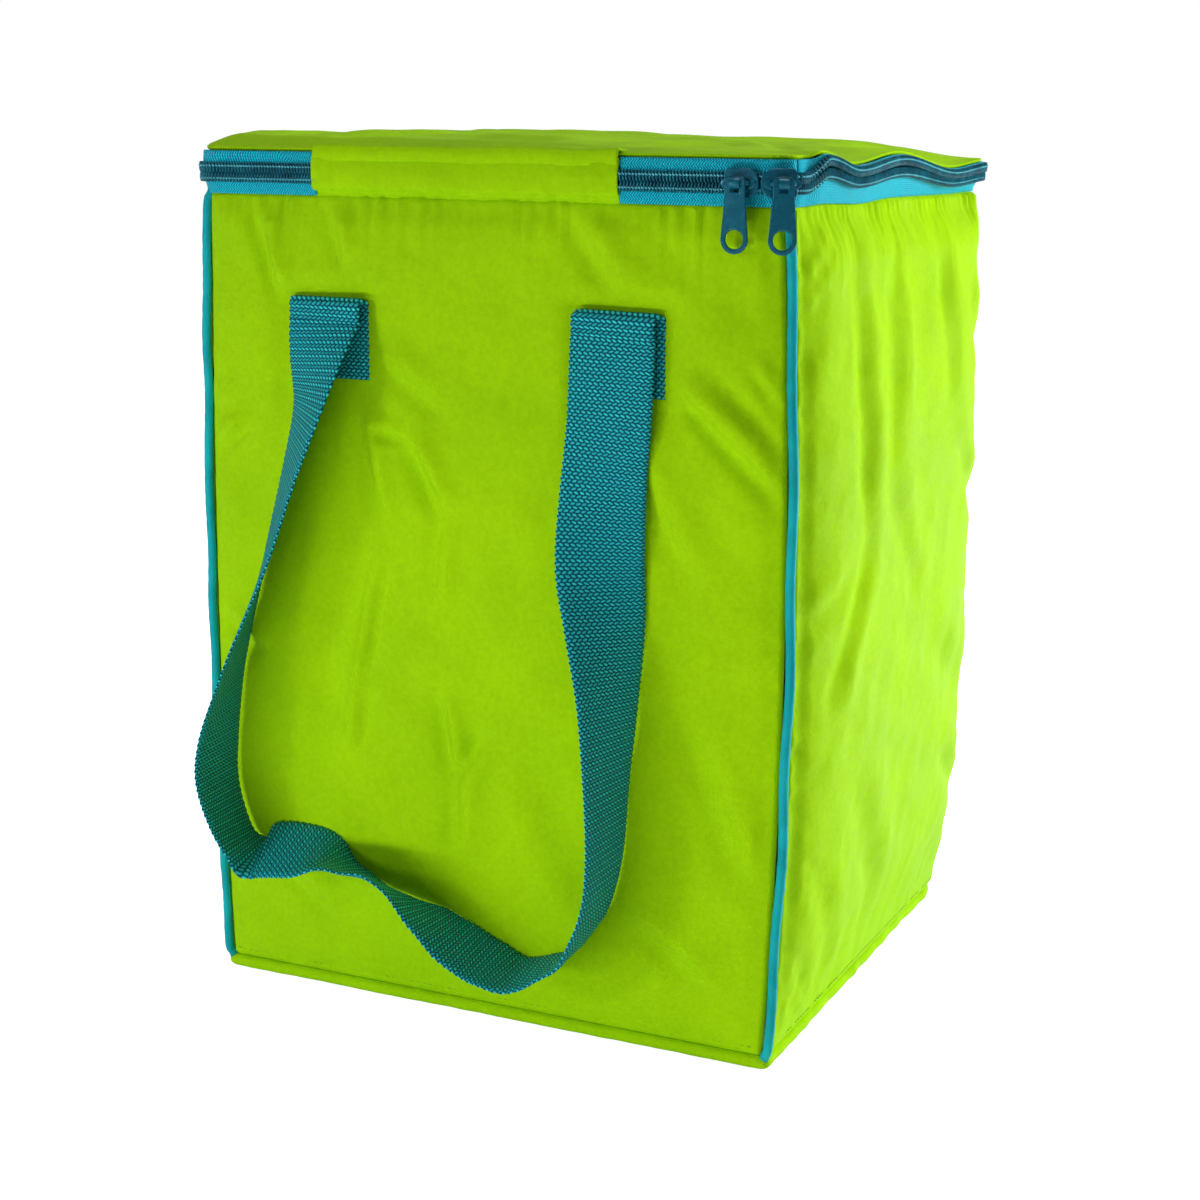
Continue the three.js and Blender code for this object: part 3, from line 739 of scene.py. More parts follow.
LEFT_FOLDS = [
    ((60, 350), (76, 230), -1.8, 10), ((160, 344), (140, 224), -1.7, 10), ((212, 350), (220, 250), -1.4, 8),
    ((90, 190), (150, 120), -1.5, 10), ((8, 160), (44, 180), -1.2, 6), ((196, 130), (244, 96), -1.6, 8),
    ((60, 96), (100, 30), -1.4, 10),
]


SIDE_FOLD_SHARE = 0.6  # the folds of the other surfaces are softer than the front's
RIGHT_CROWN = 6.0  # the right side stands out like a cushion behind the piping
FLAT_PUFF_SHARE = 0.3  # the handles pull the front and the back flatter than the sides


def handle_clearance(x, z):
    """0 where a handle is sewn down and pulls the front flat, 1 away from it."""
    low, high = node_box("front_handle_left_end")
    flat = 0.0
    for middle in (HANDLE_LEFT, HANDLE_RIGHT):
        beside = smooth(WEBBING_WIDTH / 2 + 12, WEBBING_WIDTH / 2, np.abs(x - middle))
        near = smooth(low[2] - 24, low[2] - 4, z) * smooth(high[2] + 16, high[2] + 4, z)
        flat = np.maximum(flat, beside * near)
    return 1 - 0.9 * flat


def crowded(begin, end, step):
    """Places from begin to end that crowd at both, where the fabric rolls in at a seam."""
    share = np.linspace(0, 1, int(round((end - begin) / step)))
    return begin + (end - begin) * (0.25 * (1 - np.cos(np.pi * share)) / 2 + 0.75 * share)


def build_wall(name, side, begin, end, folds, seed, seam_depth):
    """One wall between two vertical seams, `begin` and `end` measured along its side."""
    step = 1.8
    u, v = np.meshgrid(crowded(begin, end, step), crowded(WALL_BOTTOM, WALL_TOP, step))
    s = SIDE_STARTS[side] + u
    to_side = np.minimum(u - begin, end - u)
    to_top, to_bottom = WALL_TOP - v, v - WALL_BOTTOM

    out = shell.swell(s, v)
    dents = 0.35 * mottle(u, v, seed, 32) + 0.12 * mottle(u, v, seed + 1, 12)
    dents = dents + creases(u, v, folds) * (1.0 if side == 0 else SIDE_FOLD_SHARE)
    if side in (0, 2):
        out = (1.6 + FLAT_PUFF_SHARE * out + dents) * handle_clearance(u - HALF_WIDTH, v)
    else:
        out = out + dents
    if side == 1:
        crown = 1 - np.exp(-to_side / 18)
        out = out + RIGHT_CROWN * crown * smooth(0, 25, to_top) * smooth(0, 60, to_bottom)
    out = above(out, FOAM_STOP) * smooth(0, 11, to_side) * smooth(0, 14, to_top) * smooth(0, 12, to_bottom)
    out = out + seam_puckers(u, to_top, seed + 2, 6, 2.2, 12)
    out = out + seam_puckers(v, to_side, seed + 4, 15, 0.5, 9)
    out = out + seam_puckers(u, to_bottom, seed + 6, 14, 0.4, 8)
    out = out - tuck(to_side, 3.0, seam_depth) - tuck(to_top, 3.2, 2.2) - tuck(to_bottom, 3.2, 2.0)
    points = shell.point(s, v, out).reshape(-1, 3)
    uv = np.stack([u, v], axis=-1).reshape(-1, 2)
    new_piece(name + "_cloth", points, grid_faces(*u.shape), LIME, "body", [name], uv=uv)


def build_walls():
    seam_gap = PIPING_RADIUS + 1.2
    half_seam = 0.3
    build_wall("front_panel", 0, seam_gap, SIDE_LENGTHS[0] - seam_gap, FRONT_FOLDS, 11, 2.4)
    build_wall("right_panel", 1, seam_gap, SIDE_LENGTHS[1] - half_seam, RIGHT_FOLDS, 21, 2.0)
    build_wall("back_panel", 2, half_seam, SIDE_LENGTHS[2] - half_seam, BACK_FOLDS, 31, 1.4)
    build_wall("left_panel", 3, half_seam, SIDE_LENGTHS[3] - seam_gap, LEFT_FOLDS, 41, 2.0)


def build_base():
    """The base panel: its rolled edge turns up to the walls' bottom seam, and it closes underneath."""
    s = np.linspace(0, PERIMETER, 520, endpoint=False)
    plan, facing = outline(s)
    ripple = 0.25 * waves(s, 51, 16) + 0.3 * waves(s, 52, 70)
    profile = [(-3.0, WALL_BOTTOM - 0.2), (-0.9, WALL_BOTTOM - 0.3), (0.1, 4.8), (0.4, 3.2), (0.0, 1.6),
               (-1.2, 0.5), (-3.0, 0.1), (-6.0, 0.0), (-12.0, 0.5)]
    rings = []
    for out, height in profile:
        ring_out = out + ripple * smooth(-4.0, 0.0, out)
        rings.append(level(plan + facing * ring_out[:, None], height))
    points, faces = loft(rings)
    uv = points[:, :2] + points[:, 2:3]
    new_piece("base_panel_cloth", points, faces, LIME, "body", ["base_panel"], uv=uv)


def build_piping(side, sign):
    """Covered cord down a front edge, slightly uneven where the stitching grips it."""
    height = np.linspace(WALL_BOTTOM - 1.5, WALL_TOP + 0.6, 190)
    x, y = bowed(np.full_like(height, sign * PIPING_X), np.full_like(height, PIPING_Y), height)
    x = x + sign * 0.35 * waves(height, 61 + sign, 60)
    ends = smooth(0, 5, height - height[0]) * smooth(0, 5, height[-1] - height)
    inward = 1.5 * (1 - ends)
    path = np.column_stack([x - sign * inward, y + inward, height])
    sides = 14
    points, faces = loft(tube(path, PIPING_RADIUS * (1 + 0.035 * waves(height, 64, 7)), sides))
    girth = np.tile(np.linspace(0, 2 * np.pi * PIPING_RADIUS, sides), len(height))
    uv = np.column_stack([np.append(girth, [0, 0]), np.append(np.repeat(height, sides), [0, 0])])
    new_piece(side + "_piping_cord", points, faces, PIPING_COVER, "body", [side + "_piping"], uv=uv)


# ---------------------------------------------------------------- stitches


def stitch_row(name, path, outwards, thread):
    """Sewing thread along a path, one small sunken bar for each stitch."""
    pitch, length, radius = 3.3, 2.3, 0.26
    travel = travelled(path)
    at = np.arange(pitch / 2, travel[-1], pitch)
    tangent = unit(read_along(at + 0.4, travel, path) - read_along(at - 0.4, travel, path))
    facing = read_along(at, travel, outwards)
    facing = unit(facing - tangent * np.sum(facing * tangent, axis=1, keepdims=True))
    axes = np.stack([np.cross(facing, tangent), facing, tangent], axis=1)
    points, faces = scatter(rod_template(length, radius, radius), read_along(at, travel, path), axes)
    new_piece(name, points, faces, thread, "body")


def build_base_stitching():
    """The line of stitches just above the bottom edge of each wall."""
    height = WALL_BOTTOM + 4.2
    margin = 6
    for side, label in enumerate(SIDE_NAMES):
        s = SIDE_STARTS[side] + np.linspace(margin, SIDE_LENGTHS[side] - margin, 160)
        z = np.full_like(s, height)
        path = shell.point(s, z, shell.swell(s, z) * smooth(0, 12, height - WALL_BOTTOM) + 0.05)
        stitch_row(f"{label}_base_stitches", path, level(outline(s)[1], 0.0), LIME_THREAD)


# ---------------------------------------------------------------- zip


def zip_line():
    """Dense plan points and normals of the zip's centre line, from its left end round to its right end."""
    step = 0.25
    cx, cy = ZIP_HALF_X - ZIP_CORNER, ZIP_HALF_Y - ZIP_CORNER
    left_end, right_end = ZIP_ENDS
    points, normals = [], []

    def straight(start, stop, normal):
        count = int(np.linalg.norm(np.subtract(stop, start)) / step)
        for share in np.linspace(0, 1, count, endpoint=False):
            points.append(np.add(start, np.subtract(stop, start) * share))
            normals.append(normal)

    def quarter(middle, start_angle):
        count = int(ZIP_CORNER * np.pi / 2 / step)
        for share in np.linspace(0, 1, count, endpoint=False):
            angle = math.radians(start_angle - 90 * share)
            normal = np.array([math.cos(angle), math.sin(angle)])
            points.append(np.array(middle) + ZIP_CORNER * normal)
            normals.append(normal)

    straight((left_end, -ZIP_HALF_Y), (-cx, -ZIP_HALF_Y), (0, -1))
    quarter((-cx, -cy), -90)
    straight((-ZIP_HALF_X, -cy), (-ZIP_HALF_X, cy), (-1, 0))
    quarter((-cx, cy), 180)
    straight((-cx, ZIP_HALF_Y), (cx, ZIP_HALF_Y), (0, 1))
    quarter((cx, cy), 90)
    straight((ZIP_HALF_X, cy), (ZIP_HALF_X, -cy), (1, 0))
    quarter((cx, -cy), 0)
    straight((cx, -ZIP_HALF_Y), (right_end, -ZIP_HALF_Y), (0, -1))
    return np.array(points, float), np.array(normals, float), step


ZIP_POINTS, ZIP_NORMALS, ZIP_STEP = zip_line()
ZIP_LENGTH = len(ZIP_POINTS) * ZIP_STEP
LAST_CORNER = ZIP_LENGTH - (ZIP_HALF_X - ZIP_CORNER - ZIP_ENDS[1]) - ZIP_CORNER * np.pi / 2
LID_SHARE = math.radians(22) * ZIP_CORNER  # where the lid's half of the zip meets slider 2


def on_zip(distance):
    """Plan points and outward normals of the zip's centre line."""
    index = np.clip(np.asarray(distance, float) / ZIP_STEP, 0, len(ZIP_POINTS) - 1)
    count = np.arange(len(ZIP_POINTS))
    return read_along(index, count, ZIP_POINTS), unit(read_along(index, count, ZIP_NORMALS))


def rim_place(distance, out, height):
    """A point of the zip band. The wave of the rim grows from the wall's seam to the coil."""
    plan, facing = on_zip(distance)
    push, lift = rim_wave(plan[..., 0], plan[..., 1])
    low = seam_lift(plan[..., 0], plan[..., 1])
    share = smooth(SEAM, COIL_HEIGHT, height)
    moved = plan + facing * (out + push * (0.5 + 0.5 * share))[..., None]
    rise = low * (1 - share) + lift * share
    return np.concatenate([moved, (height + rise)[..., None]], axis=-1)


TAPE_DROP = 0.55  # share of its height by which the upper tape sinks along the right side


def build_tape(name, begin, end, bottom, top, body, node):
    columns = int((end - begin) / 1.6)
    distance, height = np.meshgrid(np.linspace(begin, end, columns), np.linspace(bottom, top, 9))
    plan, _ = on_zip(distance)
    if top > COIL_HEIGHT:
        height = height - TAPE_DROP * right_rim(plan[..., 0], plan[..., 1]) * (height - bottom)
    belly = 0.35 * np.sin(np.pi * (height - bottom) / (top - bottom))
    front = rim_place(distance, -1.25 + belly, height)[:, ::-1]
    new_sheet(name, front, 0.7, distance[:, ::-1], height, TAPE_CLOTH, body, [node])


def scatter_on_zip(name, template, distance, out, rise, long, wide, material, body, stands_for=()):
    """Copies of a small bar along the zip. `long` and `wide` are its axes, as shares of along and up."""
    height = np.full_like(distance, COIL_HEIGHT + rise)
    place = rim_place(distance, out, height)
    tangent = unit(rim_place(distance + 0.5, out, height) - place)
    outward = level(on_zip(distance)[1], 0.0)
    upward = unit(np.cross(outward, tangent))
    upward *= np.sign(upward[:, 2:3])
    long_axis, wide_axis = [tangent * along + upward * up for along, up in (long, wide)]
    points, faces = scatter(template, place, np.stack([wide_axis, outward, long_axis], axis=1))
    new_piece(name, points, faces, material, body, stands_for)


TOOTH_PITCH = 1.5
TOOTH_LENGTH = 5.0


def build_coil(name, begin, end, half, body, node):
    """One half of the coil as separate loops; `half` is 1 above the centre line and -1 below."""
    first = begin + 0.4 + (TOOTH_PITCH / 2 if half > 0 else 0)
    lean = math.radians(9) * half
    scatter_on_zip(name, rod_template(TOOTH_LENGTH, 0.56, 1.05, around=8, along=6),
                   np.arange(first, end - 0.4, TOOTH_PITCH), 0.0, half * (TOOTH_LENGTH / 2 - 0.35),
                   (math.sin(lean), math.cos(lean)), (math.cos(lean), -math.sin(lean)),
                   COIL_NYLON, body, [node])


def build_zip_stitches(name, begin, end, half, body):
    """The pale thread that holds the coil to the tape."""
    lean = math.radians(24)
    scatter_on_zip(name, rod_template(1.5, 0.34, 0.34), np.arange(begin + 0.8, end - 0.6, TOOTH_PITCH),
                   0.95, half * 2.75, (math.cos(lean), math.sin(lean)), (-math.sin(lean), math.cos(lean)),
                   ZIP_THREAD, body)


def build_zip():
    """The lower half of the zip, and the upper half in two stretches: beside the sliders and on the lid."""
    lid_end = LAST_CORNER + LID_SHARE
    gap = 1.6  # between the tapes' woven edges, behind the coil
    lower = (SEAM - 1.4, COIL_HEIGHT - gap / 2)
    upper = (COIL_HEIGHT + gap / 2, RIM + 0.6)
    for label, begin, end, half, levels, body in [
            ("lower", 0, ZIP_LENGTH, -1, lower, "body"),
            ("closed", lid_end + 0.4, ZIP_LENGTH, 1, upper, "body"),
            ("lid", 0, lid_end, 1, upper, "lid")]:
        build_tape(f"{label}_tape", begin, end, *levels, body, f"{label}_zip_tape")
        build_coil(f"{label}_coil", begin, end, half, body, f"{label}_zip_coil")
        build_zip_stitches(f"{label}_coil_stitches", begin, end, half, body)


# ---------------------------------------------------------------- hinge strip and lid


LID_EDGE = lid_low[2]
HINGE_Y = strip_low[1]


def rounded_rectangle(half_x, half_y, radius, count):
    """Evenly spaced points round a rounded rectangle."""
    dense = []
    for side_x, side_y, start in [(1, -1, -90), (1, 1, 0), (-1, 1, 90), (-1, -1, 180)]:
        dense += arc(side_x * (half_x - radius), side_y * (half_y - radius), radius, start, start + 90, 24)
    dense = np.array(dense + dense[:1])
    travel = travelled(dense)
    return read_along(np.linspace(0, travel[-1], count, endpoint=False), travel, dense)


def lid_ring(scale):
    """Plan points of the lid's edge, shrunk towards the middle."""
    inset, count = 1.7, 480
    return rounded_rectangle(lid_high[0] - inset, lid_high[1] - inset, ZIP_CORNER - 2, count) * scale


LID_FOLDS = [
    ((62, 14), (100, 62), -1.4, 5), ((30, 18), (44, 52), -1.0, 6), ((118, 30), (168, 24), -1.3, 7),
    ((204, 16), (240, 70), -1.2, 7), ((90, 120), (160, 150), -1.1, 12), ((40, 190), (90, 220), -1.2, 9),
    ((180, 200), (238, 230), -1.3, 9), ((150, 90), (220, 110), -0.9, 12), ((256, 60), (230, 110), -1.5, 8),
    ((250, 140), (262, 200), -1.4, 8),
]


def lid_height(x, y):
    """The top of the padded lid over a plan point, with its soft folds."""
    u, v = x + HALF_WIDTH, y + HALF_DEPTH
    edge = np.minimum(lid_high[0] - np.abs(x), lid_high[1] - np.abs(y))
    crown = (1 - np.abs(x / HALF_WIDTH) ** 3.0) * (1 - np.abs(y / HALF_DEPTH) ** 3.0)
    tilt = np.interp(x, [-HALF_WIDTH, 0, HALF_WIDTH], [2.6, 0.8, -2.8])
    height = 1.2 + (3.4 + tilt) * smooth(0, 14, edge) + 2.4 * np.maximum(crown, 0)
    height = height + SIDE_FOLD_SHARE * creases(u, v, LID_FOLDS) * smooth(0, 12, edge)
    height = height + 0.45 * mottle(x, y, 71, 48) * smooth(0, 14, edge)
    height = height + 1.4 * bell(np.hypot(x + 118, y - 112), 0, 20)
    return LID_EDGE + height


def lid_drop(x, y):
    """How far the lid's edge moves up or down to stay on the top edge of the upper tape."""
    return rim_wave(x, y)[1] - TAPE_DROP * (RIM - COIL_HEIGHT) * right_rim(x, y)


def lid_shift(x, y):
    """The lid's edge follows the wave of the rim, less and less towards the middle."""
    edge = np.minimum(lid_high[0] - np.abs(x), lid_high[1] - np.abs(y))
    share = 1 - smooth(0, 48, edge)
    push, lift = rim_wave(x, y)[0], lid_drop(x, y)
    reach = np.maximum(np.hypot(x, y), 1)
    sideways = np.where(np.abs(x / HALF_WIDTH) > np.abs(y / HALF_DEPTH), 1.0, 0.0)
    out_x = np.sign(x) * sideways + x / reach * (1 - sideways) * 0.6
    out_y = np.sign(y) * (1 - sideways) + y / reach * sideways * 0.6
    return push * share * out_x, push * share * out_y, lift * share


def build_lid_panel():
    """The lid's cloth: a rolled edge, then rings that close over the crown."""
    rings = []
    for scale, rise in [(0.93, 0.3), (0.975, -0.2), (0.995, -0.2), (1.003, 0.5), (1.004, 1.6)]:
        rings.append(level(lid_ring(scale), LID_EDGE + rise))
    for scale in 1 - np.concatenate([[0.002, 0.008, 0.018], np.linspace(0.03, 0.985, 52)]):
        plan = lid_ring(scale)
        rings.append(level(plan, lid_height(plan[:, 0], plan[:, 1])))
    rings = np.array(rings)
    points, faces = loft(rings + np.stack(lid_shift(rings[..., 0], rings[..., 1]), axis=-1))
    new_piece("lid_cloth", points, faces, LIME, "lid", ["lid_panel"], uv=points[:, :2])


def build_lid_foam():
    """The lid's foam board: flat below, and bent with the fabric above it."""
    low, high = node_box("lid_foam")
    steps = [(0.05, 0), (0.5, 0), (0.99, 0), (1.0, 0.1), (1.0, 0.5), (1.0, 0.9), (0.995, 1)]
    steps += [(scale, 1) for scale in np.linspace(0.985, 0.05, 40)]
    plan = board_outline(high, 300)
    points, faces = loft([foam_ring(plan * scale, low[2], share) for scale, share in steps])
    new_piece("lid_foam_board", points, faces, FOAM, "lid", ["lid_foam"])


def board_outline(high, count):
    """The outline of a board in the lid, from the far corner of its node's box."""
    return rounded_rectangle(high[0], high[1], 5.0, count)


def foam_ring(plan, bottom, share):
    """Points of the board over plan points; `share` runs from its underside to its top."""
    x, y = plan.T
    top = lid_height(x, y) + lid_shift(x, y)[2] - 2.2
    return level(plan, bottom + (np.maximum(top, bottom + 1.5) - bottom) * share)


def build_hinge_strip():
    """The lime strip between the zip's ends. It is doubled at both ends."""
    columns = np.linspace(STRIP_LEFT - 1.5, STRIP_RIGHT + 0.6, 150)
    rows = np.linspace(SEAM - 1.6, RIM + 0.2, 26)
    x, z = np.meshgrid(columns, rows)
    share = (z - SEAM) / (RIM - SEAM)
    left_fold = smooth(STRIP_LEFT + 9, STRIP_LEFT + 7.5, x)
    right_fold = smooth(STRIP_RIGHT - 13.5, STRIP_RIGHT - 12, x)
    out = 0.5 + 1.9 * np.sin(np.pi * np.clip(share, 0, 1)) ** 0.7 + 0.7 * left_fold + 0.7 * right_fold
    out = out + 0.35 * mottle(x, z * 1.5, 81, 26) + 0.25 * waves(x, 82, 9) * bell(share, 0, 0.25)
    out = out - 1.7 * smooth(0.14, 0.0, share)
    front = np.stack([x, HINGE_Y + 0.6 - out, z], axis=-1)
    new_sheet("hinge_strip_cloth", front, 0.9, x, z, LIME, "body", ["hinge_strip"])


def build_hinge_fold():
    """The fabric that bends in the real bag when the lid opens, built as one fixed piece: from the strip up
    and over the lid's front edge.
    """
    profile = [(-1.6, -3.0), (-2.0, -0.6), (-1.9, 1.2), (-1.2, 3.2), (0.8, 4.6), (4.0, 5.3), (7.5, 5.4)]
    fine = np.linspace(0, 1, 22)
    back, up = read_along(fine, np.linspace(0, 1, len(profile)), profile).T
    x, y = np.meshgrid(np.linspace(STRIP_LEFT - 1.0, STRIP_RIGHT + 0.4, 120), back)
    top = lid_height(x, np.maximum(y + HINGE_Y, -lid_high[1]))
    settle = smooth(0.55, 1.0, fine)[:, None]
    z = (RIM + up)[:, None] * (1 - settle) + (top + 0.5) * settle + 0.3 * mottle(x, y * 3, 83, 30)
    piece = new_sheet("hinge_fold_cloth", np.stack([x, HINGE_Y + y, z], axis=-1), 0.8, x, z + y, LIME, None)
    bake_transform(piece)


# ---------------------------------------------------------------- inside


def build_body_lining():
    """Foil tub: crinkled inside, with its top edge under the binding."""
    low, high = node_box("body_lining")
    count, corner = 260, 10.0
    floor, top = low[2], high[2]
    plan = rounded_rectangle(high[0], high[1], corner, count)
    rings = []
    for inset, height in [(40.0, floor), (0.2, floor), (0.2, top)]:
        rings.append(level(rounded_rectangle(high[0] - inset, high[1] - inset, corner, count), height))
    for share in np.linspace(0, 1, 60):
        height = top + (floor + 1.0 - top) * share
        crinkle = 0.9 + 0.5 * mottle(np.arange(count) * 4.0, np.full(count, height), 91, 45)
        rings.append(level(plan * (1 - (0.9 + crinkle * smooth(0, 0.1, share))[:, None] / 120), height))
    for scale in np.linspace(0.97, 0.05, 24):
        inner = rounded_rectangle(high[0] - 1, high[1] - 1, corner, count) * scale
        rings.append(level(inner, floor + 1.8 + 0.6 * mottle(inner[:, 0], inner[:, 1], 92, 40)))
    points, faces = loft(rings)
    new_piece("body_lining_foil", points, faces, FOIL, "body", ["body_lining"])


def build_lid_lining():
    low, high = node_box("lid_lining")
    plan = board_outline(high, 240)
    rings = []
    for scale, height in [(0.1, high[2]), (0.99, high[2]), (1.0, (low[2] + high[2]) / 2)]:
        rings.append(level(plan * scale, height))
    for scale in np.linspace(0.99, 0.05, 40):
        x, y = (plan * scale).T
        sag = 0.5 * mottle(x, y, 93, 42) * smooth(1.0, 0.93, scale) + 0.2
        rings.append(level(plan * scale, low[2] - sag))
    points, faces = loft(rings)
    new_piece("lid_lining_foil", points, faces, FOIL, "lid", ["lid_lining"])


def build_binding(name, width, body, seed):
    """Folded tape over a bound seam: a soft loop whose section is a rounded bar."""
    low, high = node_box(name)
    corner, sides = 6.0, 14
    half_width, half_height = width / 2, (high[2] - low[2]) / 2
    plan = rounded_rectangle(high[0] - half_width, high[1] - half_width, corner, 360)
    facing = unit(plan)
    travel = travelled(plan)
    pinch = 1 + 0.06 * waves(travel, seed, 12)
    sink = lid_drop(plan[:, 0], plan[:, 1]) if body == "lid" else 0.0
    rings, uv = [], []
    for angle in np.linspace(0, 2 * np.pi, sides, endpoint=False):
        out = np.cos(angle) * half_width * pinch
        up = np.sign(math.sin(angle)) * abs(math.sin(angle)) ** 0.6 * half_height * pinch
        rings.append(level(plan + facing * out[:, None], (low[2] + high[2]) / 2 + up + sink))
        uv.append(level(travel[:, None], angle * half_width))
    points, faces = loft(rings, wrap_rows=True)
    new_piece(name + "_tape", points, faces, BINDING_CLOTH, body, [name], uv=np.concatenate(uv))


def build_base_foam():
    """The foam board in the base, with the same corners as the walls."""
    low, high = node_box("base_foam")
    plan, facing = outline(np.linspace(0, PERIMETER, 360, endpoint=False))
    inset = HALF_DEPTH - high[1] + 2.0
    bottom, top = low[2], high[2]
    steps = [(60, bottom), (1, bottom), (0, bottom + 1), (0, top - 1), (1, top), (60, top)]
    points, faces = loft([level(plan - facing * (inset + further), height) for further, height in steps])
    new_piece("base_foam_board", points, faces, FOAM, "body", ["base_foam"])


def build_wall_foam(side, label):
    """A foam board behind a wall. Its outer face falls back at the rounded corners and at the seams."""
    name = f"{label}_foam"
    low, high = node_box(name)
    across_axis, deep_axis = (0, 1) if side in (0, 2) else (1, 0)
    sign = OUTWARD[side][deep_axis]
    half, wall = (HALF_WIDTH, HALF_DEPTH) if across_axis == 0 else (HALF_DEPTH, HALF_WIDTH)
    outer, inner = (high, low) if sign > 0 else (low, high)
    along = np.linspace(low[across_axis], high[across_axis], 90)
    along, height = np.meshgrid(along, np.linspace(low[2], high[2], 70))

    at_back = along > 0 if across_axis == 1 else np.full(along.shape, side == 2)
    radius = np.where(at_back, BACK_CORNER, FRONT_CORNER)
    to_corner = half - np.abs(along)
    overlap = np.clip(radius - to_corner, 0, radius)
    rounding = radius - np.sqrt(radius**2 - overlap**2)
    to_seam = np.minimum(to_corner, np.minimum(WALL_TOP - height, height - WALL_BOTTOM))
    inset = np.maximum(wall - abs(outer[deep_axis]), rounding + 2.8 * smooth(9, 1, to_seam) + 0.9)
    inset = inset + 0.25 * (1 + mottle(along, height, 95 + side, 30))
    inset = np.minimum(inset, wall - abs(inner[deep_axis]) - 0.6)

    faces_of_board = []
    for depth in (sign * (wall - inset), np.full(along.shape, inner[deep_axis])):
        grid = np.stack([along, depth, height] if across_axis == 0 else [depth, along, height], axis=-1)
        faces_of_board.append(grid[:, ::-1] if side in (2, 3) else grid)
    points, faces = closed_sheet(*faces_of_board)
    new_piece(name + "_board", points, faces, FOAM, "body", [name])


# ---------------------------------------------------------------- sliders and pulls


def arc(cx, cy, radius, start, stop, count):
    angle = np.radians(np.linspace(start, stop, count))
    return [(cx + radius * math.cos(a), cy + radius * math.sin(a)) for a in angle]


def plate(loops, thickness, bevel):
    """A bevelled plate from closed outlines; later loops cut holes. The outline is drawn in x and z."""
    curve = bpy.data.curves.new("plate", "CURVE")
    curve.dimensions = "2D"
    curve.fill_mode = "BOTH"
    curve.extrude = (thickness / 2 - bevel) * MM
    curve.bevel_depth = bevel * MM
    curve.bevel_resolution = 3
    for loop in loops:
        spline = curve.splines.new("POLY")
        spline.points.add(len(loop) - 1)
        spline.use_cyclic_u = True
        for point, (x, y) in zip(spline.points, loop):
            point.co = (x * MM, y * MM, 0, 1)
    source = linked("plate_outline", curve)
    bpy.context.view_layer.update()
    mesh = bpy.data.meshes.new_from_object(source.evaluated_get(bpy.context.evaluated_depsgraph_get()))
    bpy.data.objects.remove(source)
    mesh.transform(Matrix.Rotation(math.radians(90), 4, "X"))
    return mesh


def rectangle(left, right, bottom, top):
    return [(left, bottom), (right, bottom), (right, top), (left, top)]


def merged(name, parts):
    """Several plates and tubes as one mesh, each moved by its own millimetre offset."""
    points, faces = [], []
    for mesh, offset in parts:
        start = len(points)
        points += [tuple(vertex.co / MM + Vector(offset)) for vertex in mesh.vertices]
        faces += [tuple(index + start for index in polygon.vertices) for polygon in mesh.polygons]
    mesh = raw_mesh(name, points, faces)
    mesh.validate()
    mesh.materials.append(ENAMEL)
    mesh.polygons.foreach_set("use_smooth", [True] * len(mesh.polygons))
    mesh.set_sharp_from_angle(angle=math.radians(38))
    return mesh


def tube_mesh(path, radius, sides):
    return raw_mesh("tube", *loft(tube(path, radius, sides)))


SLIDER_FACE = -2.8  # the front plate's outer face, from the zip's centre line
BRIDGE_OUT = -6.0
BRIDGE_HALF_SPAN = 4.2


def slider_mesh(nose_side):
    """Slider body in its own frame: x along the zip, -y outwards, z up. The nose is at nose_side."""
    half, chamfer, tail, nose = 5.5, 1.2, -5.7, 2.7
    loop = [(tail, -half + chamfer), (tail + chamfer, -half)]
    loop += arc(nose, 0, half, -90, 90, 15) + [(tail + chamfer, half), (tail, half - chamfer)]
    loop = [(nose_side * x, y) for x, y in loop]
    flange = plate([rectangle(nose_side * (tail + 0.8), nose_side * nose, -0.55, 0.55)], 2.2, 0.25)

    arch = []
    rise = -BRIDGE_OUT + SLIDER_FACE + 0.4
    for angle in np.linspace(0, math.pi, 25):
        x = -BRIDGE_HALF_SPAN * 1.12 * math.copysign(abs(math.cos(angle)) ** 0.55, math.cos(angle))
        arch.append((x, SLIDER_FACE + 0.4 - rise * abs(math.sin(angle)) ** 0.55, 0.0))
    post = [(nose_side * 3.6, SLIDER_FACE + 1, 0), (nose_side * 3.6, 5.9, 0)]
    boss = plate([arc(0, 0, 1.0, 0, 352, 20)], 0.8, 0.3)
    for vertex in boss.vertices:
        vertex.co.x *= 6.0
        vertex.co.z *= 2.3
    return merged("slider_shape", [
        (plate([loop], 1.3, 0.45), (0, SLIDER_FACE + 0.65, 0)),
        (plate([[(x * 0.9, y * 0.94) for x, y in loop]], 1.2, 0.35), (0, 6.2, 0)),
        (flange, (0, -1.2, half - 0.5)),
        (flange, (0, -1.2, -half + 0.5)),
        (tube_mesh(arch, 0.95, 12), (0, 0, 0)),
        (tube_mesh(post, 0.6, 8), (0, 0, 0)),
        (boss, (0, SLIDER_FACE - 0.15, 0)),
    ])


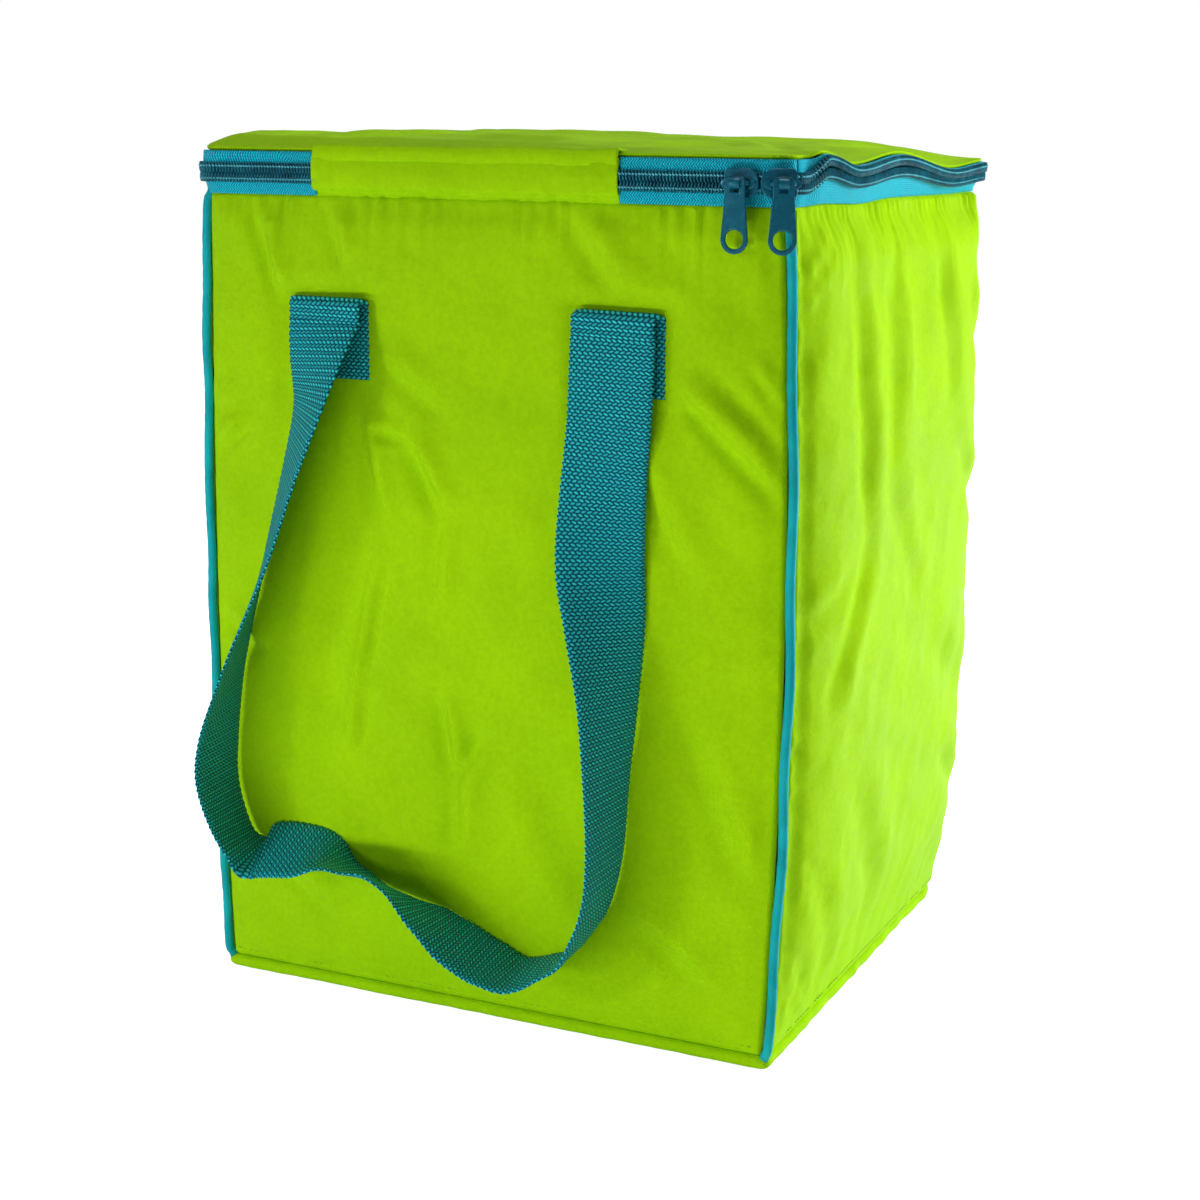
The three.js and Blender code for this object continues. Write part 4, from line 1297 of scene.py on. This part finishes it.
def pull_mesh():
    """Pull in its own frame: the bridge runs along x through the origin and the pull hangs down."""
    length, end_radius, hole = 27.5, 5.4, 4.3
    end = end_radius - length
    half_top, top, chamfer = 3.9, 2.1, 1.0
    loop = arc(0, end, end_radius, 180 + 4, 360 - 4, 22)
    loop += [(half_top, -4.5), (half_top, top - chamfer), (half_top - chamfer, top)]
    loop += [(-half_top + chamfer, top), (-half_top, top - chamfer), (-half_top, -4.5)]
    body = plate([loop, arc(0, end, hole, 0, 350, 26), rectangle(-2.3, 2.3, -3.9, -1.2)], 1.4, 0.45)
    rim = tube_mesh([(x, 0, y) for x, y in arc(0, end, hole + 0.5, 0, 352, 30)], 0.8, 8)
    angle = np.linspace(0, 2 * np.pi, 18, endpoint=False)
    sleeve = []
    for x, radius in [(-2.2, 1.15), (-2.2, 2.0), (-1.6, 2.25), (1.6, 2.25), (2.2, 2.0), (2.2, 1.15)]:
        sleeve.append(np.column_stack([np.full(18, x), np.cos(angle) * radius, np.sin(angle) * radius]))
    eye = raw_mesh("pull_eye", *loft(sleeve, wrap_rows=True))
    return merged("pull_shape", [(part, (0, 0, 0)) for part in (body, rim, eye)])


def place_metal(body, mesh, place, turn):
    """A metal part that replaces the node with its body's name."""
    piece = linked(body + "_metal", mesh)
    piece.matrix_world = Matrix.Translation(Vector(place) * MM) @ Matrix.Rotation(turn, 4, "Z")
    enlist(piece, body, [body])


def build_sliders():
    """Each slider stands behind its pull's pin, which the frame's joint gives."""
    for number, nose_side in [(1, 1), (2, -1)]:
        swing = joint_named(f"slider_{number}_pull_swing")
        turn = math.atan2(swing["axis"][1], swing["axis"][0])
        bar = np.array(swing["pos_m"]) / MM
        inward = np.array([-math.sin(turn), math.cos(turn), 0.0])
        place_metal(f"slider_{number}", slider_mesh(nose_side), bar - inward * BRIDGE_OUT, turn)
        place_metal(f"slider_{number}_pull", pull_mesh(), bar, turn)


# ---------------------------------------------------------------- webbing handles

PATCH_Y = patch_low[1]


def smooth_path(stations, spacing, square):
    """Places, width directions and travel along stations (place, across), joined by cubic curves."""
    places = np.array([place for place, _ in stations], float)
    both = np.concatenate([places, unit(np.array([across for _, across in stations], float))], axis=1)
    knots = np.concatenate([[0], np.cumsum(np.sqrt(np.linalg.norm(np.diff(places, axis=0), axis=1)))])
    slopes = np.gradient(both, knots, axis=0)
    t = np.linspace(0, 1, 60, endpoint=False)[:, None]
    fine = []
    for i, span in enumerate(np.diff(knots)):
        fine.append((2 * t**3 - 3 * t**2 + 1) * both[i] + (t**3 - 2 * t**2 + t) * span * slopes[i]
                    + (3 * t**2 - 2 * t**3) * both[i + 1] + (t**3 - t**2) * span * slopes[i + 1])
    fine = np.concatenate(fine + [both[-1:]])
    travel = travelled(fine[:, :3])
    at = np.linspace(0, travel[-1], int(travel[-1] / spacing))
    even = read_along(at, travel, fine)
    centre, width = even[:, :3], even[:, 3:]
    if square:
        tangent = unit(np.gradient(centre, axis=0))
        width = width - tangent * np.sum(width * tangent, axis=1, keepdims=True)
    return centre, unit(width), at


def ribbon(name, stations, body, stands_for=(), square=True):
    """Webbing along stations: ribbed, with toothed selvages. `square` keeps its width across its run."""
    centre, width, travel = smooth_path(stations, 0.58, square)
    share = np.linspace(-1, 1, 15)
    share = np.sign(share) * np.abs(share) ** 0.85
    rib = np.cos(2 * np.pi * travel / RIB_PITCH)[:, None]
    half = WEBBING_WIDTH / 2 + 0.28 * rib + 0.25 * waves(travel, 101, 90)[:, None]
    points = centre[:, None] + width[:, None] * (half * share)[..., None]
    inner = 1 - 0.55 * smooth(0.86, 1.0, np.abs(share))
    relief = 0.14 * rib * inner - 0.45 * smooth(0.9, 1.0, np.abs(share))
    u, v = np.meshgrid(share * WEBBING_WIDTH / 2, travel)
    return new_sheet(name, points, WEBBING, u, v, WEBBING_CLOTH, body, stands_for, relief)


def handle_places(stations, sign):
    """Stations (x, out, z, across) as places. `sign` is -1 for the back handle, turned half a circle."""
    turn = np.array([sign, sign, 1.0])
    return [(turn * (x, -HALF_DEPTH - out, z), turn * across) for x, out, z, across in stations]


# Stations of the front loop: x, distance out from the wall, height, and direction across the webbing.
FRONT_LOOP = [
    (HANDLE_LEFT, 5.6, fold_level - 8, (1.0, -0.10, 0.0)),
    (HANDLE_LEFT - 0.5, 10.5, fold_level - 20, (0.95, -0.30, 0.05)),
    (HANDLE_LEFT - 2.5, 16, fold_level - 43, (0.80, -0.60, 0.10)),
    (HANDLE_LEFT - 11, 18.7, 251, (0.68, -0.72, 0.15)),
    (HANDLE_LEFT - 24, 20.5, 209, (0.58, -0.79, 0.20)),
    (HANDLE_LEFT - 43, 22, 155, (0.33, -0.91, 0.25)),
    (HANDLE_LEFT - 51, 23, 122, (0.12, -0.96, 0.27)),
    (HANDLE_LEFT - 52, 23, 104, (0.06, -0.96, 0.28)),
    (HANDLE_LEFT - 48, 23, 88, (0.06, -0.96, 0.26)),
    (HANDLE_LEFT - 41, 23, 75, (0.14, -0.97, 0.12)),
    (HANDLE_LEFT - 34, 22, 70, (0.30, -0.92, -0.20)),
    (HANDLE_LEFT - 27, 21.5, 72.5, (0.45, -0.84, -0.32)),
    (HANDLE_LEFT - 12, 21, 74, (0.52, -0.79, -0.30)),
    (HANDLE_LEFT + 3, 21, 73.5, (0.54, -0.81, -0.20)),
    (HANDLE_LEFT + 17, 21, 69, (0.55, -0.82, 0.12)),
    (HANDLE_LEFT + 30, 21, 66, (0.55, -0.78, 0.28)),
    (HANDLE_LEFT + 43, 22, 62, (0.50, -0.84, 0.20)),
    (HANDLE_LEFT + 59, 23, 54, (0.34, -0.93, -0.07)),
    (HANDLE_LEFT + 73, 23, 45, (0.26, -0.94, -0.22)),
    (HANDLE_LEFT + 89, 22, 37, (0.32, -0.92, -0.22)),
    (HANDLE_LEFT + 102, 22, 34, (0.36, -0.93, -0.04)),
    (HANDLE_RIGHT - 26, 21, 39, (0.46, -0.86, 0.18)),
    (HANDLE_RIGHT - 15, 21, 46.5, (0.38, -0.86, 0.32)),
    (HANDLE_RIGHT - 6, 22, 60, (0.20, -0.91, 0.34)),
    (HANDLE_RIGHT, 23, 75, (0.09, -0.96, 0.27)),
    (HANDLE_RIGHT + 3, 23, 93, (0.0, -0.97, 0.23)),
    (HANDLE_RIGHT + 4, 23, 131, (-0.12, -0.96, 0.24)),
    (HANDLE_RIGHT + 4, 22.5, 165, (-0.32, -0.93, 0.16)),
    (HANDLE_RIGHT + 1, 19.5, 196, (-0.62, -0.77, 0.05)),
    (HANDLE_RIGHT - 3.5, 14.5, 221, (-0.86, -0.50, -0.03)),
    (HANDLE_RIGHT - 5, 8.5, 250, (-0.98, -0.20, -0.06)),
    (HANDLE_RIGHT - 3.5, 5.8, 283, (-1.0, -0.02, -0.02)),
    (HANDLE_RIGHT - 2.5, 5.4, fold_level - 8, (-1.0, 0.0, 0.03)),
]

BACK_LOOP = [
    (HANDLE_LEFT, 5.6, fold_level - 8, (1.0, 0.0, 0.0)),
    (HANDLE_LEFT, 6, 285, (1.0, -0.05, 0.0)),
    (HANDLE_LEFT - 1, 12.5, 240, (0.92, -0.38, 0.0)),
    (HANDLE_LEFT - 1, 18.5, 195, (0.70, -0.70, 0.05)),
    (HANDLE_LEFT + 1, 21, 140, (0.40, -0.90, 0.10)),
    (HANDLE_LEFT + 4, 22, 100, (0.15, -0.97, 0.10)),
    (HANDLE_LEFT + 16, 22.5, 66, (0.05, -0.99, 0.0)),
    (HANDLE_LEFT + 40, 23, 42, (0.0, -1.0, -0.1)),
    ((HANDLE_LEFT + HANDLE_RIGHT) / 2, 23, 34, (0.05, -1.0, -0.12)),
    (HANDLE_RIGHT - 40, 23, 44, (0.0, -1.0, -0.05)),
    (HANDLE_RIGHT - 14, 22, 72, (-0.10, -0.99, 0.05)),
    (HANDLE_RIGHT - 3, 21, 108, (-0.25, -0.95, 0.10)),
    (HANDLE_RIGHT, 21, 150, (-0.50, -0.85, 0.05)),
    (HANDLE_RIGHT, 16, 205, (-0.82, -0.57, 0.0)),
    (HANDLE_RIGHT, 8.5, 262, (-0.98, -0.18, 0.0)),
    (HANDLE_RIGHT, 5.6, fold_level - 8, (-1.0, 0.0, 0.0)),
]


def build_handle(side, stations, sign):
    """Two sewn ends, the folds above them and the loop between the folds."""
    patch_out = -HALF_DEPTH - PATCH_Y - WEBBING / 2
    flat = np.array([1.0, 0.0, 0.0])
    for end, x, leg in [("left", HANDLE_LEFT, stations[0]), ("right", HANDLE_RIGHT, stations[-1])]:
        node = f"{side}_handle_{end}_end"
        patch_levels = (patch_low[2], patch_low[2] + 8, 307, fold_level - 6)
        patch = [(x, patch_out, height, flat) for height in patch_levels]
        ribbon(f"{node}_webbing", handle_places(patch, sign), "body", [node])

        leg_x, leg_out, leg_z, leg_across = leg
        leg_across = np.array(leg_across) * np.sign(leg_across[0])
        radius = (leg_out - patch_out) / 2
        fold = [(x, patch_out, fold_level - 6.6, flat), (x, patch_out, fold_level - 3, flat)]
        for share in np.linspace(0, 1, 7):
            out = patch_out + radius * (1 - math.cos(math.pi * share))
            height = fold_level - 1 + radius * math.sin(math.pi * share)
            fold.append((x + (leg_x - x) * share, out, height, flat * (1 - share) + leg_across * share))
        fold.append((leg_x, leg_out, leg_z - 0.5, leg_across))
        piece = ribbon(f"{node}_fold", handle_places(fold, sign), None, square=False)
        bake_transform(piece)
    ribbon(f"{side}_handle_webbing", handle_places(stations, sign), f"{side}_handle", [f"{side}_handle_loop"])


# ---------------------------------------------------------------- stage, light and camera


def add_area(name, place, target, size, power):
    lamp = bpy.data.lights.new(name, "AREA")
    lamp.shape = "RECTANGLE"
    lamp.size, lamp.size_y = size
    lamp.energy = power
    holder = linked(name, lamp)
    holder.location = place
    holder.rotation_euler = (Vector(target) - Vector(place)).to_track_quat("-Z", "Y").to_euler()
    return holder


def build_stage():
    half = 6000.0
    corners = [(-half, -half, 0), (half, -half, 0), (half, half, 0), (-half, half, 0)]
    floor = raw_mesh("floor", corners, [(0, 1, 2, 3)])
    shade = Shading("pale_floor")
    tone = shade.mix(shade.noise(300), (0.93, 0.93, 0.93, 1), (0.95, 0.95, 0.95, 1))
    glow = shade.times(shade.node("LightPath").outputs["Is Camera Ray"], 0.9)  # it reads white to the camera
    floor.materials.append(
        shade.finish(colour=tone, roughness=0.6, specular=0.2, glow=glow, glow_colour=(1, 1, 1, 1)))
    stage = linked("floor", floor)
    stage.location.z = -0.6 * MM

    world = bpy.data.worlds.new("studio")
    bpy.context.scene.world = world
    world.use_nodes = True
    tree = world.node_tree
    seen = tree.nodes.new("ShaderNodeLightPath").outputs["Is Camera Ray"]
    strength = tree.nodes.new("ShaderNodeMapRange")
    strength.inputs["To Min"].default_value = 0.16  # the light it gives; the camera sees it at full strength
    tree.links.new(seen, strength.inputs["Value"])
    tree.nodes["Background"].inputs["Color"].default_value = (1.0, 1.0, 1.0, 1)
    tree.links.new(strength.outputs["Result"], tree.nodes["Background"].inputs["Strength"])

    middle = (0.0, 0.0, 0.19)
    add_area("key", (-1.2, -1.8, 0.55), middle, (0.26, 0.26), 6.0)
    low_fill = add_area("low_fill", (-0.15, -0.75, 0.03), (0.0, -0.13, 0.06), (0.7, 0.06), 1.9)
    low_fill.visible_camera = False
    low_fill.visible_glossy = False
    side = add_area("side", (1.6, 1.6, 0.7), (0.14, 0.0, 0.19), (0.9, 0.9), 64)
    side.visible_glossy = False  # the right side shows no gloss in spite of its bright light
    add_area("top", (0.1, 0.3, 1.9), middle, (1.2, 1.2), 10)


def build_camera():
    """The photograph's viewpoint: in front, to the right and a little above the bag."""
    pitch, yaw, roll = math.radians(12.59), math.radians(24.74), math.radians(0.49)
    ahead = Vector((-math.sin(yaw) * math.cos(pitch), math.cos(yaw) * math.cos(pitch), -math.sin(pitch)))
    across = Vector((math.cos(yaw), math.sin(yaw), 0))
    upward = across.cross(ahead)
    right = across * math.cos(roll) + upward * math.sin(roll)
    up = upward * math.cos(roll) - across * math.sin(roll)
    data = bpy.data.cameras.new("camera")
    data.sensor_width = 36
    data.lens = 64.95
    data.clip_start = 0.05
    camera = linked("camera", data)
    rotation = Matrix((right, up, -ahead)).transposed().to_4x4()
    camera.matrix_world = Matrix.Translation((0.4386, -0.9559, 0.4057)) @ rotation
    bpy.context.scene.camera = camera


# ---------------------------------------------------------------- the whole bag

build_walls()
build_base()
build_piping("left", -1)
build_piping("right", 1)
build_base_stitching()
build_zip()
build_hinge_strip()
build_lid_panel()
build_hinge_fold()
build_body_lining()
build_lid_lining()
build_lid_foam()
build_binding("rim_binding", 6.4, "body", 111)
build_binding("lid_binding", 4.1, "lid", 112)
build_base_foam()
for wall_side, wall_label in enumerate(SIDE_NAMES):
    build_wall_foam(wall_side, wall_label)
build_sliders()
build_handle("front", FRONT_LOOP, 1.0)
build_handle("back", BACK_LOOP, -1.0)
build_stage()
build_camera()
bpy.context.scene.view_settings.view_transform = "Standard"
